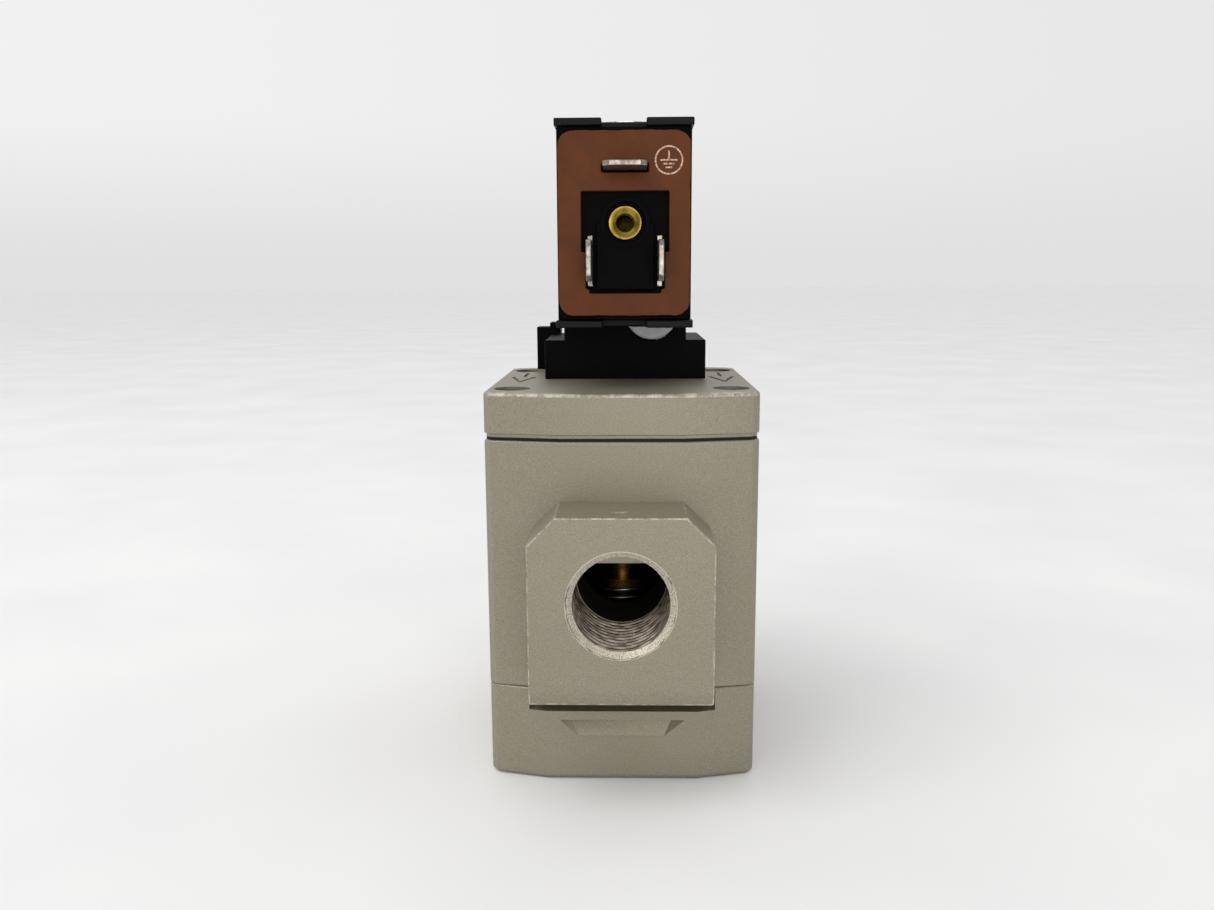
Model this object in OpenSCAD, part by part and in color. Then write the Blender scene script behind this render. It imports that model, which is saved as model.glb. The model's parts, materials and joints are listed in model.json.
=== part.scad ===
// Pilot-operated 3/2-way solenoid valve: three-part die-cast body, piston drive, hollow brass poppet,
// and an upright solenoid pilot with a three-blade connector face.
// Millimetres. Z is up, the front port looks along -Y. The origin is on the body axis, on the ground.

/* [Body] */
// Width of the metal body
body_w = 44; // [42:1:54]
// Depth of the metal body between its front and rear flats
body_d = 49; // [47:1:60]
// Width of the flat in the middle of the front and rear
flat_w = 19.5; // [16:0.5:22]
// How far the body's corners lie behind the middle flat
corner_set = 2.3; // [1.5:0.1:3]
// Width of the flat in the middle of the bottom cap
bottom_flat_w = 24.6; // [20:0.2:26]
// Bevel on the upright corners
corner_cut = 1; // [0.5:0.1:1.5]
// Height of the bottom cap
bottom_h = 15.8; // [15:0.2:18]
// Height of the main body
main_h = 41; // [40:0.2:50]
// Height of the top cap
cap_h = 7.2; // [6.8:0.2:9]
// Thickness of the gasket under the top cap
cap_gasket_t = 0.4; // [0.3:0.1:0.8]

/* [Ports] */
// Major diameter of the thread of the inlet and outlet ports
port_d = 16.66; // [13.2:0.02:18]
// Depth of the port thread
port_depth = 14.5; // [12:0.5:17]
// Height of the port axis above the ground
port_z = 33.6; // [33:0.2:35]
// Width of the raised port pad
pad_w = 28.4; // [26:0.2:30]
// How far the pad stands out from the middle flat
pad_out = 11; // [9:0.5:14]
// Height of the pad above the port axis
pad_rise = 13.6; // [12:0.2:15]
// Height of the pad's face below the port axis
pad_drop = 13.2; // [11:0.2:14]
// Bevel on the pad's two upper corners
pad_cut = 4.3; // [3:0.1:6]
// How far the tongue under the pad reaches down into the bottom cap
tongue_drop = 2.7; // [2:0.1:3.5]
// Major diameter of the exhaust thread in the bottom cap
exhaust_d = 13.16; // [10:0.02:14]
// Depth of the exhaust thread
exhaust_depth = 9; // [8:0.5:9]

/* [Valve] */
// Outer diameter of the hollow poppet stem
stem_d = 10; // [9:0.2:10.4]
// Bore of the hollow poppet stem
stem_bore = 6.4; // [5:0.2:7]
// Stroke of the poppet
poppet_stroke = 3; // [2:0.25:3]
// Piston travel before the rod meets the poppet
lost_motion = 1; // [0.5:0.1:1.2]
// Diameter of the piston
piston_d = 34; // [28:0.5:35]
// Diameter of the piston rod
rod_d = 6; // [5:0.2:6.4]

/* [Pilot] */
// Sideways place of the pilot's axis on the top cap
pilot_x = 0.5; // [-1:0.1:1]
// Place of the pilot's axis behind the body axis
pilot_y = 9.2; // [9:0.1:10]
// Width of the pilot base
base_w = 28.6; // [26:0.2:30]
// Height of the base's lower block
base_h = 6.9; // [6.5:0.1:8]
// Height of the base's upper step
step_h = 3; // [2.8:0.1:4]
// Stroke of the plunger
plunger_stroke = 0.9; // [0.5:0.1:1]
// Travel of the manual override button
override_travel = 1.5; // [1:0.1:1.5]

/* [Coil] */
// Width of the moulded coil housing
coil_w = 21.2; // [20.6:0.2:24]
// Depth of the coil from its connector face to its back
coil_d = 37.1; // [36:0.5:40]
// Height of the coil with both yoke plates
coil_h = 32.3; // [32:0.5:40]
// Thickness of the yoke's plates
yoke_t = 1.2; // [1:0.1:2]
// Distance between the two upright blades
blade_pitch = 11; // [10:0.1:11]
// Width of the upright blades
blade_w = 6.3; // [5.5:0.1:6.3]
// Thickness of the blades
blade_t = 0.8; // [0.6:0.1:1]
// How far the blades stand out of the housing face
blade_out = 8.5; // [7:0.5:10]
// Width of the level earth blade
earth_w = 6.7; // [6:0.1:7]

/* [Hidden] */
$fn = 64;

eps = 0.01;              // overshoot of a cut past the face it opens
run = 0.05;              // radial running clearance of a sliding fit
touch = 0.02;            // gap left between faces that meet at the end of a stroke

// Heights of the joints between the three castings
main_z = bottom_h;
main_top = main_z + main_h;
cap_z = main_top + cap_gasket_t;
cap_top = cap_z + cap_h;

// Engraved flow arrows on the top cap
arrow_cut = 0.35;
arrow_head = 9.5;
arrow_lean = 13;         // degrees between each side of the head and the shaft
arrow_shaft = 7;
arrow_y = -5.5;

// Plan of the castings
half_w = body_w / 2;
half_d = body_d / 2;

// Ports and pads
port_r = port_d / 2;
exhaust_r = exhaust_d / 2;
pad_y = half_d + pad_out;
pad_top = port_z + pad_rise;
pad_half = pad_w / 2;
foot_r = 6;              // the pad's face curves back at its foot
foot_arc = 27;           // degrees of that curve
foot_cut = 0.7;          // depth of the bevel under the curve
pad_low = main_z + 1.5;
tongue_depth = 3;
tongue_z = main_z - tongue_drop;
notch_gap = 1.1;         // open joint beside and under the tongue
notch_back = 0.1;        // and behind it
passage_r = port_r - 0.9;
wall = 1.5;              // thinnest wall between two chambers

// Valve stack, from the ground up
stem_r = stem_d / 2;
spigot_r = 12;
spigot_top = main_z + 4;
chamber_r = 11;
web_z = port_z + 4.9;    // underside of the web that carries the seat
passage_roof = port_z + 2.6;
head_pocket_r = 10.5;
head_pocket_h = 2.3;
seat_z = web_z + head_pocket_h;
seat_h = 2.5;
seat_r = 8;
seat_bore_r = 6.2;
seat_lip = 0.3;
web_top = seat_z + seat_h;
stem_top = seat_z - seat_lip;
head_r = 9;
head_h = 1.6;
face_h = 0.9;            // thickness of the poppet's rubber ring
head_z = stem_top - face_h - head_h;
stem_foot = exhaust_depth + 4;
vent_r = 4.2;
guide_z = stem_foot - poppet_stroke - 0.2;
collar_r = 8.2;
collar_h = 1.5;
collar_z = spigot_top + poppet_stroke + 5.2;

// Piston drive
outlet_h = 5.7;
outlet_r = 12;
plate_z = web_top + outlet_h;
plate_h = 3;
plate_top = plate_z + plate_h;
piston_travel = poppet_stroke + lost_motion;
piston_r = piston_d / 2;
cyl_r = piston_r + run;
piston_h = 4.6;
piston_z = plate_top + 0.3 + piston_travel;
piston_top = piston_z + piston_h;
cyl_roof = piston_top + 0.2;
spring_pocket_h = 3.2;
rod_r = rod_d / 2;
rod_stud_r = rod_r - 0.5;
pad_face_z = stem_top + lost_motion + touch;
rod_pad_r = rod_r + 1.4;
rod_pad_h = 1.2;
rod_flange_r = rod_pad_r + 0.4;
rod_flange_h = 1.4;
bush_r = rod_r + 2;
bush_flange_r = bush_r + 1.5;
bush_flange_h = 1.5;
spring_room_r = rod_r + 2;   // the piston's spring pocket runs from here out to its skirt
skirt_w = 4;
drive_wire_r = 0.4;      // wire radius of the piston and poppet springs

// Round seals: section radius and the room for it
o_ring_r = 0.68;
groove_h = 1.6;
groove_depth = 1.45;

// Casting screws, M3 socket head
screw_x = half_w - 4.1;
screw_y = half_d - 8.3;
screw_r = 1.5;
screw_hole_r = screw_r + 0.15;
screw_head_r = 2.75;
screw_head_h = 3;
screw_pocket_r = 3;
screw_pocket_h = 3.4;
screw_grip = 9;
socket_r = 1.45;
socket_h = 1.5;

// Pilot base and what stands on it
base_z = cap_top;
ledge_z = base_z + base_h;
coil_z = ledge_z + step_h;
base_front = pilot_y - 9.6;
base_back = pilot_y + 15;
step_w = 21.6;
step_back = pilot_y + 10.8;
lug_w = 4.7;
lug_out = 3.2;           // how far the lug stands out of the base's left side
lug_front = base_back - 4.3;
lug_h = 8.3;
lug_step = 2.6;
lug_step_h = 0.9;
pilot_gasket_t = 0.8;
plunger_room_r = 5.4;
tube_flange_r = 6.3;
tube_flange_h = 1.5;
tube_r = 4.5;
tube_bore_r = 4.1;
plunger_r = 4;
nozzle_r = 2.5;
nozzle_tip_r = 1.2;
orifice_r = 0.5;
nozzle_top = base_z + 6.4;
room_z = nozzle_top - 1.3;
plunger_seal_r = 2.2;
plunger_seal_h = 1.5;
exhaust_seal_r = 2;
exhaust_seal_h = 1;
plunger_top = coil_z + 16.7;
core_z = plunger_top + plunger_stroke + 0.1;
core_top = coil_z + coil_h - 0.2;
stud_r = 3;
nut_r = 6.5;
nut_h = 2.6;
spring_bore_r = 2.6;
core_pin_r = 1.4;        // pin of the fixed core inside the plunger's spring
plunger_wire_r = 0.25;
spring_bore_z = plunger_top - 7;
pilot_screw_x = step_w / 2 - screw_pocket_r - 0.3;
pilot_screw_front = base_front + screw_pocket_r + 0.6;
pilot_screw_rear = step_back - screw_pocket_r - 0.6;
button_r = 4.56;
button_x = 5.2;
button_z = coil_z + 1.66;
button_room = 0.25;
button_proud = 0.5;
button_depth = 2;
button_stem_r = 1;
button_stem_x = button_x + 1.7;
button_stem_z = coil_z - 2.6;
button_stem_out = 2.8;  // length of the stem behind the button
button_rear = base_front + button_depth - button_proud;
button_room_y = base_front + button_depth + override_travel;
button_ring_r = 0.38;
button_ring_room = 0.9;

// Drilled air ways: supply to the pilot nozzle, and feed from the pilot to the piston
way_r = 0.9;
supply_x = -cyl_r - (half_w - cyl_r) / 2;
way_roof = (cyl_roof + cap_top) / 2;
supply_up_x = pilot_x - 8.5;
way_rise = 2.4;
feed_x = pilot_x + plunger_room_r - way_r - 0.3;

// Coil and connector
coil_back = pilot_y + 10.4;
coil_face = coil_back - coil_d;
coil_top = coil_z + coil_h;
yoke_w = coil_w + 0.6;
lip_out = 1.1;
lip_notch_w = 7;
lip_notch_d = 5;
housing_z = coil_z + yoke_t;
housing_h = coil_h - 2 * yoke_t;
bobbin_r = 9;
bobbin_wall = 0.9;
bobbin_flange_h = 1;
connector_x = pilot_x + 0.15;
insert_z = coil_top - 15.9;
insert_r = 2.73;
insert_bore_r = 1.25;
insert_depth = 8;
boss_r = 3.86;
boss_gap_r = 3.26;
boss_h = 1.1;
column_w = 9.2;          // raised column from the boss down to the window's foot
column_out = 0.8;
insert_proud = 0.6;
blade_z = insert_z - 5.9;
blade_root = 8;
blade_hold = 4.8;        // how deep the blades reach into the housing
blade_shoulder = 0.8;    // how far their wider roots stand out of it
blade_tip_cut = 0.9;
blade_room = 0.35;       // gap between a blade and its slot in the gasket
earth_z = insert_z + 8.35;
gasket_w = coil_w - 0.4;
gasket_h = housing_h - 1.4;
gasket_t = 1.5;
gasket_corner = 2.4;
window_w = 13.8;
window_top = insert_z + 4.85;
window_step = insert_z - 4.5;
window_low_w = 11.4;
window_foot = insert_z - 10.95;

// ---------- shared shapes ----------

// Plan of the castings: middle flats, sides that slope back, bevelled corners
module plan(inset = 0, flat = flat_w) {
    w = half_w - inset;
    d = half_d - inset;
    f = flat / 2;
    c = corner_cut;
    side_slope = corner_set / (half_w - f);
    corner = d - corner_set;
    front = [[-w, -corner + c], [-w + c, -corner - c * side_slope], [-f, -d],
             [f, -d], [w - c, -corner - c * side_slope], [w, -corner + c]];
    rear = [for (p = front) [-p[0], -p[1]]];
    polygon(concat(front, rear));
}

module tube(r_out, r_in, h) {
    difference() {
        cylinder(r = r_out, h = h);
        translate([0, 0, -eps]) cylinder(r = r_in, h = h + 2 * eps);
    }
}

module o_ring(mean_r) {
    rotate_extrude() translate([mean_r, 0]) circle(r = o_ring_r, $fn = 32);
}

// Ring-shaped cut for a seal, centred on its height
module groove(r_out, r_in) {
    translate([0, 0, -groove_h / 2]) tube(r_out, r_in, groove_h);
}

module at_casting_screws() {
    for (x = [-screw_x, screw_x], y = [-screw_y, screw_y]) translate([x, y, 0]) children();
}

module at_pilot() {
    translate([pilot_x, pilot_y, 0]) children();
}

// Puts a child that points along +Z on the connector face, pointing out of it
module on_face(x, z) {
    translate([x, coil_face, z]) rotate([90, 0, 0]) children();
}

// Round-wire spring, swept as a ring of points that climbs the helix
module spring(mean_r, wire_r, h, turns) {
    sides = 6;
    per_turn = 16;
    count = turns * per_turn;
    points = [for (i = [0:count], k = [0:sides - 1])
        let (turn = 360 * i / per_turn,
             around = 360 * k / sides,
             r = mean_r + wire_r * cos(around),
             z = wire_r + (h - 2 * wire_r) * i / count + wire_r * sin(around))
        [r * cos(turn), r * sin(turn), z]];
    skin = [for (i = [0:count - 1], k = [0:sides - 1])
        let (a = i * sides + k,
             b = i * sides + (k + 1) % sides)
        each [[a, a + sides, b], [b, a + sides, b + sides]]];
    start = [for (k = [0:sides - 1]) k];
    end = [for (k = [sides - 1:-1:0]) count * sides + k];
    polyhedron(points, concat(skin, [start], [end]));
}

// Socket-head screw, head seat at z = 0, shank downwards
module socket_screw(length) {
    difference() {
        union() {
            cylinder(r = screw_head_r, h = screw_head_h);
            translate([0, 0, -length]) cylinder(r = screw_r, h = length + eps);
        }
        translate([0, 0, screw_head_h - socket_h]) cylinder(r = socket_r, h = socket_h + eps, $fn = 6);
    }
}

// ---------- castings ----------

// Side view of the pad: a face that curves back at its foot, a flat underside, and a tongue at its root
module pad_side() {
    foot = [for (a = [0 : foot_arc / 3 : foot_arc])
        [foot_r * (1 - cos(a)) - pad_y, port_z - pad_drop - foot_r * sin(a)]];
    heel_y = foot[3][0] + foot_cut;
    root_y = tongue_depth - half_d;
    polygon(concat(foot, [[heel_y, pad_low], [-half_d, pad_low], [-half_d, tongue_z], [root_y, tongue_z],
                          [root_y, pad_top], [-pad_y, pad_top]]));
}

// Port pad: its front view, with two bevelled upper corners, carried along Y and cut to its side view
module port_pad() {
    top_half = pad_half - pad_cut;
    intersection() {
        rotate([90, 0, 0]) linear_extrude(height = pad_y)
            polygon([[-pad_half, tongue_z], [-pad_half, pad_top - pad_cut], [-top_half, pad_top],
                     [top_half, pad_top], [pad_half, pad_top - pad_cut], [pad_half, tongue_z]]);
        rotate([90, 0, 90]) translate([0, 0, -pad_half]) linear_extrude(height = pad_w) pad_side();
    }
}

module port_bore() {
    translate([0, -pad_y - eps, port_z]) rotate([-90, 0, 0]) cylinder(r = port_r, h = port_depth + eps);
}

// Inlet: below the web, from the front port into the chamber round the poppet
module inlet_way() {
    intersection() {
        translate([0, -pad_y + port_depth - 1, port_z]) rotate([-90, 0, 0])
            cylinder(r = passage_r, h = pad_y - port_depth + 1);
        translate([-port_r, -pad_y, 0]) cube([port_d, pad_y, passage_roof]);
    }
    translate([0, 0, spigot_top - eps]) cylinder(r = chamber_r, h = web_z - spigot_top + eps);
}

// Outlet: up a slot behind the inlet chamber, then over the web
module outlet_way() {
    slot_r = (pad_y - port_depth - chamber_r - wall) / 2 + 0.3;
    slot_y = chamber_r + wall + slot_r;
    slot_x = 7 - slot_r / 2;
    slot_z = port_z - port_r + 3;
    translate([0, 0, slot_z]) linear_extrude(height = plate_z - slot_z) {
        for (x = [-slot_x, slot_x]) translate([x, slot_y]) circle(r = slot_r);
        translate([-slot_x, slot_y - slot_r]) square([2 * slot_x, 2 * slot_r]);
    }
    translate([-slot_x, 0, web_top]) cube([2 * slot_x, slot_y, outlet_h]);
    translate([0, 0, web_top]) cylinder(r = outlet_r, h = outlet_h + eps);
}

module main_body() {
    color([0.56, 0.53, 0.46]) difference() {
        union() {
            translate([0, 0, main_z]) linear_extrude(height = main_h) plan();
            port_pad();
            mirror([0, 1, 0]) port_pad();
        }
        port_bore();
        mirror([0, 1, 0]) port_bore();
        inlet_way();
        outlet_way();
        translate([0, 0, main_z - eps]) cylinder(r = spigot_r, h = spigot_top - main_z + eps);
        translate([0, 0, web_z - eps]) cylinder(r = head_pocket_r, h = head_pocket_h + eps);
        translate([0, 0, seat_z - eps]) cylinder(r = seat_r, h = seat_h + 2 * eps);
        translate([0, 0, plate_z]) cylinder(r = cyl_r, h = main_top - plate_z + eps);
        at_casting_screws() {
            translate([0, 0, main_top - screw_grip]) cylinder(r = screw_r, h = screw_grip + eps);
            translate([0, 0, main_z - eps]) cylinder(r = screw_r, h = screw_grip + eps);
        }
        translate([supply_x, pilot_y, port_z]) cylinder(r = way_r, h = main_top - port_z + eps);
        translate([supply_x, pilot_y, port_z + way_r]) rotate([0, 90, 0])
            cylinder(r = way_r, h = -supply_x);
    }
}

// Flow arrow engraved in the top cap: a long open head that points to the front, and a shaft behind it
module flow_arrow() {
    line = 0.6;
    for (lean = [-arrow_lean, arrow_lean]) rotate([0, 0, lean]) translate([-line / 2, 0, 0])
        cube([line, arrow_head, arrow_cut + eps]);
    translate([-line / 2, arrow_head, 0]) cube([line, arrow_shaft, arrow_cut + eps]);
}

module top_cap() {
    lower_bevel = 0.6;
    color([0.6, 0.57, 0.5]) difference() {
        union() {
            translate([0, 0, cap_z]) linear_extrude(height = lower_bevel) plan(lower_bevel / 2);
            translate([0, 0, cap_z + lower_bevel]) linear_extrude(height = cap_h - lower_bevel) plan();
        }
        translate([0, 0, cap_z - eps]) cylinder(r = cyl_r, h = cyl_roof - cap_z + eps);
        at_casting_screws() {
            translate([0, 0, cap_z - eps]) cylinder(r = screw_hole_r, h = cap_h);
            translate([0, 0, cap_top - screw_pocket_h])
                cylinder(r = screw_pocket_r, h = screw_pocket_h + eps);
        }
        for (side = [-1, 1]) translate([side * screw_x, arrow_y, cap_top - arrow_cut]) flow_arrow();
        translate([supply_x, pilot_y, cap_z - eps]) cylinder(r = way_r, h = way_roof - cap_z);
        translate([supply_x, pilot_y, way_roof]) rotate([0, 90, 0])
            cylinder(r = way_r, h = supply_up_x - supply_x);
        translate([supply_up_x, pilot_y, way_roof]) cylinder(r = way_r, h = cap_top - way_roof + eps);
        translate([feed_x, pilot_y, cyl_roof - eps]) cylinder(r = way_r, h = cap_top - cyl_roof + 2 * eps);
    }
}

// Recess on the bottom cap's front and rear: deepest along its top, with sloping ends, running out downwards
module trapezoid_recess() {
    face_y = -half_d - eps;
    top = [10.3, 8.3, main_z - 5.3, 1.2];   // half width at the face and at the floor, height, depth
    low = [7.3, 6.9, main_z - 8.1, 0.06];
    points = [for (row = [top, low]) each
        [[-row[0], face_y, row[2]], [row[0], face_y, row[2]],
         [row[1], -half_d + row[3], row[2]], [-row[1], -half_d + row[3], row[2]]]];
    polyhedron(points, [[0, 3, 2, 1], [4, 5, 6, 7], [0, 1, 5, 4], [1, 2, 6, 5], [2, 3, 7, 6], [3, 0, 4, 7]]);
}

module bottom_cap() {
    notch_w = pad_w + 2 * notch_gap;
    notch_z = tongue_z - notch_gap;
    color([0.58, 0.55, 0.49]) difference() {
        union() {
            linear_extrude(height = bottom_h) plan(flat = bottom_flat_w);
            cylinder(r = spigot_r, h = spigot_top);
        }
        for (side = [0, 1]) mirror([0, side, 0]) {
            translate([-notch_w / 2, -half_d - 1, notch_z])
                cube([notch_w, 1 + tongue_depth + notch_back, bottom_h - notch_z + eps]);
            trapezoid_recess();
        }
        translate([0, 0, -eps]) cylinder(r = exhaust_r, h = exhaust_depth + eps);
        cylinder(r = vent_r, h = guide_z + eps);
        translate([0, 0, guide_z]) cylinder(r = stem_r + run, h = spigot_top - guide_z + eps);
        translate([0, 0, main_z + 1]) groove(stem_r + run + groove_depth, stem_r - 1);
        translate([0, 0, main_z + 2]) groove(spigot_r + 1, spigot_r - groove_depth);
        at_casting_screws() {
            translate([0, 0, -eps]) cylinder(r = screw_pocket_r, h = screw_pocket_h + eps);
            cylinder(r = screw_hole_r, h = bottom_h + eps);
        }
    }
}

module cap_gasket() {
    color([0.08, 0.08, 0.08]) difference() {
        translate([0, 0, main_top]) linear_extrude(height = cap_gasket_t) plan(0.35);
        translate([0, 0, main_top - eps]) cylinder(r = cyl_r + 0.4, h = cap_gasket_t + 2 * eps);
        at_casting_screws() translate([0, 0, main_top - eps]) cylinder(r = screw_hole_r, h = 1);
        translate([supply_x, pilot_y, main_top - eps]) cylinder(r = way_r, h = 1);
    }
}

module cap_screws() {
    seat = cap_top - screw_pocket_h;
    color([0.35, 0.35, 0.36]) at_casting_screws() translate([0, 0, seat])
        socket_screw(seat - main_top + screw_grip - 1);
}

module bottom_screws() {
    color([0.35, 0.35, 0.36]) at_casting_screws() translate([0, 0, screw_pocket_h]) mirror([0, 0, 1])
        socket_screw(main_z - screw_pocket_h + screw_grip - 1);
}

module bottom_o_ring() {
    color([0.07, 0.07, 0.07]) translate([0, 0, main_z + 2]) o_ring(spigot_r - o_ring_r - touch);
}

// ---------- poppet ----------

module seat_ring() {
    color([0.78, 0.62, 0.3]) translate([0, 0, seat_z]) {
        tube(seat_r, seat_bore_r, seat_h);
        translate([0, 0, -seat_lip]) tube(seat_bore_r + 0.6, seat_bore_r, seat_lip + eps);
    }
}

module poppet() {
    color([0.8, 0.64, 0.3]) difference() {
        union() {
            translate([0, 0, stem_foot]) cylinder(r = stem_r, h = stem_top - stem_foot);
            translate([0, 0, head_z]) cylinder(r = head_r, h = head_h);
            translate([0, 0, collar_z]) cylinder(r = collar_r, h = collar_h);
        }
        translate([0, 0, stem_foot - eps]) cylinder(r = stem_bore / 2, h = stem_top - stem_foot + 2 * eps);
    }
}

module poppet_seal() {
    color([0.07, 0.07, 0.07]) translate([0, 0, head_z + head_h]) tube(head_r - 0.3, stem_r, face_h);
}

module poppet_spring() {
    color([0.7, 0.71, 0.72]) translate([0, 0, spigot_top])
        spring(stem_r + 4 * drive_wire_r, drive_wire_r, collar_z - spigot_top, 5);
}

module poppet_o_ring() {
    color([0.07, 0.07, 0.07]) translate([0, 0, main_z + 1]) o_ring(stem_r + run + o_ring_r + touch);
}

// ---------- piston drive ----------

module guide_plate() {
    color([0.75, 0.76, 0.77]) difference() {
        translate([0, 0, plate_z]) cylinder(r = cyl_r, h = plate_h);
        translate([0, 0, plate_z - eps]) cylinder(r = bush_r, h = plate_h + 2 * eps);
        translate([0, 0, plate_z + plate_h / 2]) groove(cyl_r + 1, cyl_r - groove_depth);
    }
}

module guide_plate_o_ring() {
    color([0.07, 0.07, 0.07]) translate([0, 0, plate_z + plate_h / 2]) o_ring(cyl_r - o_ring_r - touch);
}

module rod_bush() {
    color([0.72, 0.52, 0.26]) difference() {
        union() {
            translate([0, 0, plate_z - eps]) cylinder(r = bush_r, h = plate_h + eps);
            translate([0, 0, plate_z - bush_flange_h]) cylinder(r = bush_flange_r, h = bush_flange_h);
        }
        translate([0, 0, plate_z - bush_flange_h - eps])
            cylinder(r = rod_r + run, h = plate_h + bush_flange_h + 2 * eps);
        translate([0, 0, plate_z + plate_h / 2]) groove(rod_r + run + groove_depth, rod_r - 1);
    }
}

module rod_o_ring() {
    color([0.07, 0.07, 0.07]) translate([0, 0, plate_z + plate_h / 2]) o_ring(rod_r + run + o_ring_r + touch);
}

module piston() {
    color([0.75, 0.76, 0.77]) difference() {
        translate([0, 0, piston_z]) cylinder(r = piston_r, h = piston_h);
        translate([0, 0, piston_z - eps]) cylinder(r = rod_stud_r, h = piston_h + 2 * eps);
        translate([0, 0, piston_z - eps]) tube(piston_r - skirt_w, spring_room_r, spring_pocket_h + eps);
        translate([0, 0, piston_z + piston_h / 2]) groove(piston_r + 1, piston_r - groove_depth);
    }
}

module piston_seal() {
    lift = piston_z + (piston_h - groove_h) / 2 + touch;
    color([0.07, 0.07, 0.07]) translate([0, 0, lift])
        tube(piston_r + run - touch, piston_r - groove_depth, groove_h - 2 * touch);
}

module piston_rod() {
    flange_z = pad_face_z + rod_pad_h / 2;
    color([0.7, 0.71, 0.73]) difference() {
        union() {
            translate([0, 0, flange_z]) cylinder(r = rod_flange_r, h = rod_flange_h);
            translate([0, 0, flange_z]) cylinder(r = rod_r, h = piston_z - flange_z);
            translate([0, 0, flange_z]) cylinder(r = rod_stud_r, h = piston_top - flange_z);
        }
        translate([0, 0, flange_z - eps]) cylinder(r = rod_pad_r, h = rod_pad_h / 2 + eps);
    }
}

module rod_pad() {
    color([0.07, 0.07, 0.07]) translate([0, 0, pad_face_z]) cylinder(r = rod_pad_r, h = rod_pad_h);
}

module piston_spring() {
    mean_r = (piston_r - skirt_w + spring_room_r) / 2;
    color([0.7, 0.71, 0.72]) translate([0, 0, plate_top])
        spring(mean_r, drive_wire_r, piston_z + spring_pocket_h - plate_top, 4);
}

// ---------- pilot base ----------

// One screw in front on the left, one behind on the right
module at_pilot_screws() {
    translate([pilot_x - pilot_screw_x, pilot_screw_front, 0]) children();
    translate([pilot_x + pilot_screw_x, pilot_screw_rear, 0]) children();
}

// Half-round outline of the override button, its flat side up under the coil
module button_outline(grow = 0) {
    flat = coil_z - 0.2 - button_z;
    intersection() {
        circle(r = button_r + grow);
        translate([-2 * button_r, flat - 2 * button_r]) square([4 * button_r, 2 * button_r + grow]);
    }
}

module pilot_base() {
    left = pilot_x - base_w / 2;
    color([0.06, 0.06, 0.065]) difference() {
        union() {
            translate([left, base_front, base_z]) cube([base_w, base_back - base_front, base_h]);
            translate([pilot_x - step_w / 2, base_front, base_z])
                cube([step_w, step_back - base_front, base_h + step_h]);
            translate([left - lug_out, lug_front, base_z]) cube([lug_w, base_back - lug_front, lug_h]);
            translate([left - lug_out + lug_step, lug_front, base_z])
                cube([lug_w - lug_step, base_back - lug_front, lug_h + lug_step_h]);
        }
        translate([0, 0, base_z - eps]) linear_extrude(height = pilot_gasket_t + eps) pilot_gasket_plan();
        at_pilot() {
            translate([0, 0, room_z]) cylinder(r = plunger_room_r, h = coil_z - room_z + eps);
            translate([0, 0, coil_z - tube_flange_h]) cylinder(r = tube_flange_r, h = tube_flange_h + eps);
            translate([0, 0, base_z - eps]) cylinder(r = nozzle_r, h = room_z - base_z + 2 * eps);
        }
        at_pilot_screws() {
            translate([0, 0, base_z - eps]) cylinder(r = screw_hole_r, h = coil_z - base_z);
            translate([0, 0, coil_z - screw_pocket_h])
                cylinder(r = screw_pocket_r, h = screw_pocket_h + eps);
        }
        translate([button_x, base_front - eps, button_z]) rotate([90, 0, 0]) mirror([0, 0, 1])
            linear_extrude(height = button_depth + override_travel + eps) button_outline(button_room);
        translate([button_stem_x, button_rear - 0.1, button_stem_z]) rotate([-90, 0, 0])
            cylinder(r = button_stem_r + run, h = button_stem_out + override_travel + 0.5);
        translate([button_stem_x, button_room_y - eps, button_stem_z]) rotate([-90, 0, 0])
            cylinder(r = button_stem_r + run + 2 * button_ring_r + touch, h = button_ring_room);
        translate([supply_up_x, pilot_y, base_z - eps]) cylinder(r = way_r, h = way_rise + eps);
        translate([supply_up_x, pilot_y, base_z + way_rise]) rotate([0, 90, 0])
            cylinder(r = way_r, h = pilot_x - supply_up_x);
        translate([feed_x, pilot_y, base_z - eps]) cylinder(r = way_r, h = room_z - base_z + 2 * eps);
    }
}

// The gasket covers the base's footprint inside its walls and leaves the screws free
module pilot_gasket_plan() {
    margin = 1.6;
    difference() {
        translate([pilot_x - base_w / 2 + margin, base_front + margin])
            square([base_w - 2 * margin, base_back - base_front - 2 * margin]);
        at_pilot_screws() circle(r = screw_r + 0.9);
    }
}

module pilot_gasket() {
    color([0.07, 0.07, 0.07]) difference() {
        translate([0, 0, base_z]) linear_extrude(height = pilot_gasket_t) pilot_gasket_plan();
        translate([supply_up_x, pilot_y, base_z - eps]) cylinder(r = way_r, h = 1);
        translate([feed_x, pilot_y, base_z - eps]) cylinder(r = way_r, h = 1);
        at_pilot() translate([0, 0, base_z - eps]) cylinder(r = nozzle_r, h = 1);
    }
}

module pilot_screws() {
    color([0.35, 0.35, 0.36]) at_pilot_screws() translate([0, 0, coil_z - screw_pocket_h])
        socket_screw(coil_z - screw_pocket_h - base_z);
}

module pilot_nozzle() {
    color([0.8, 0.64, 0.3]) at_pilot() difference() {
        translate([0, 0, base_z + pilot_gasket_t]) {
            cylinder(r = nozzle_r, h = room_z - base_z - pilot_gasket_t);
            cylinder(r = nozzle_tip_r, h = nozzle_top - base_z - pilot_gasket_t);
        }
        translate([0, 0, base_z]) cylinder(r = orifice_r, h = base_h + step_h);
        translate([-nozzle_r - 1, 0, base_z + way_rise]) rotate([0, 90, 0])
            cylinder(r = orifice_r, h = nozzle_r + 1);
    }
}

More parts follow.
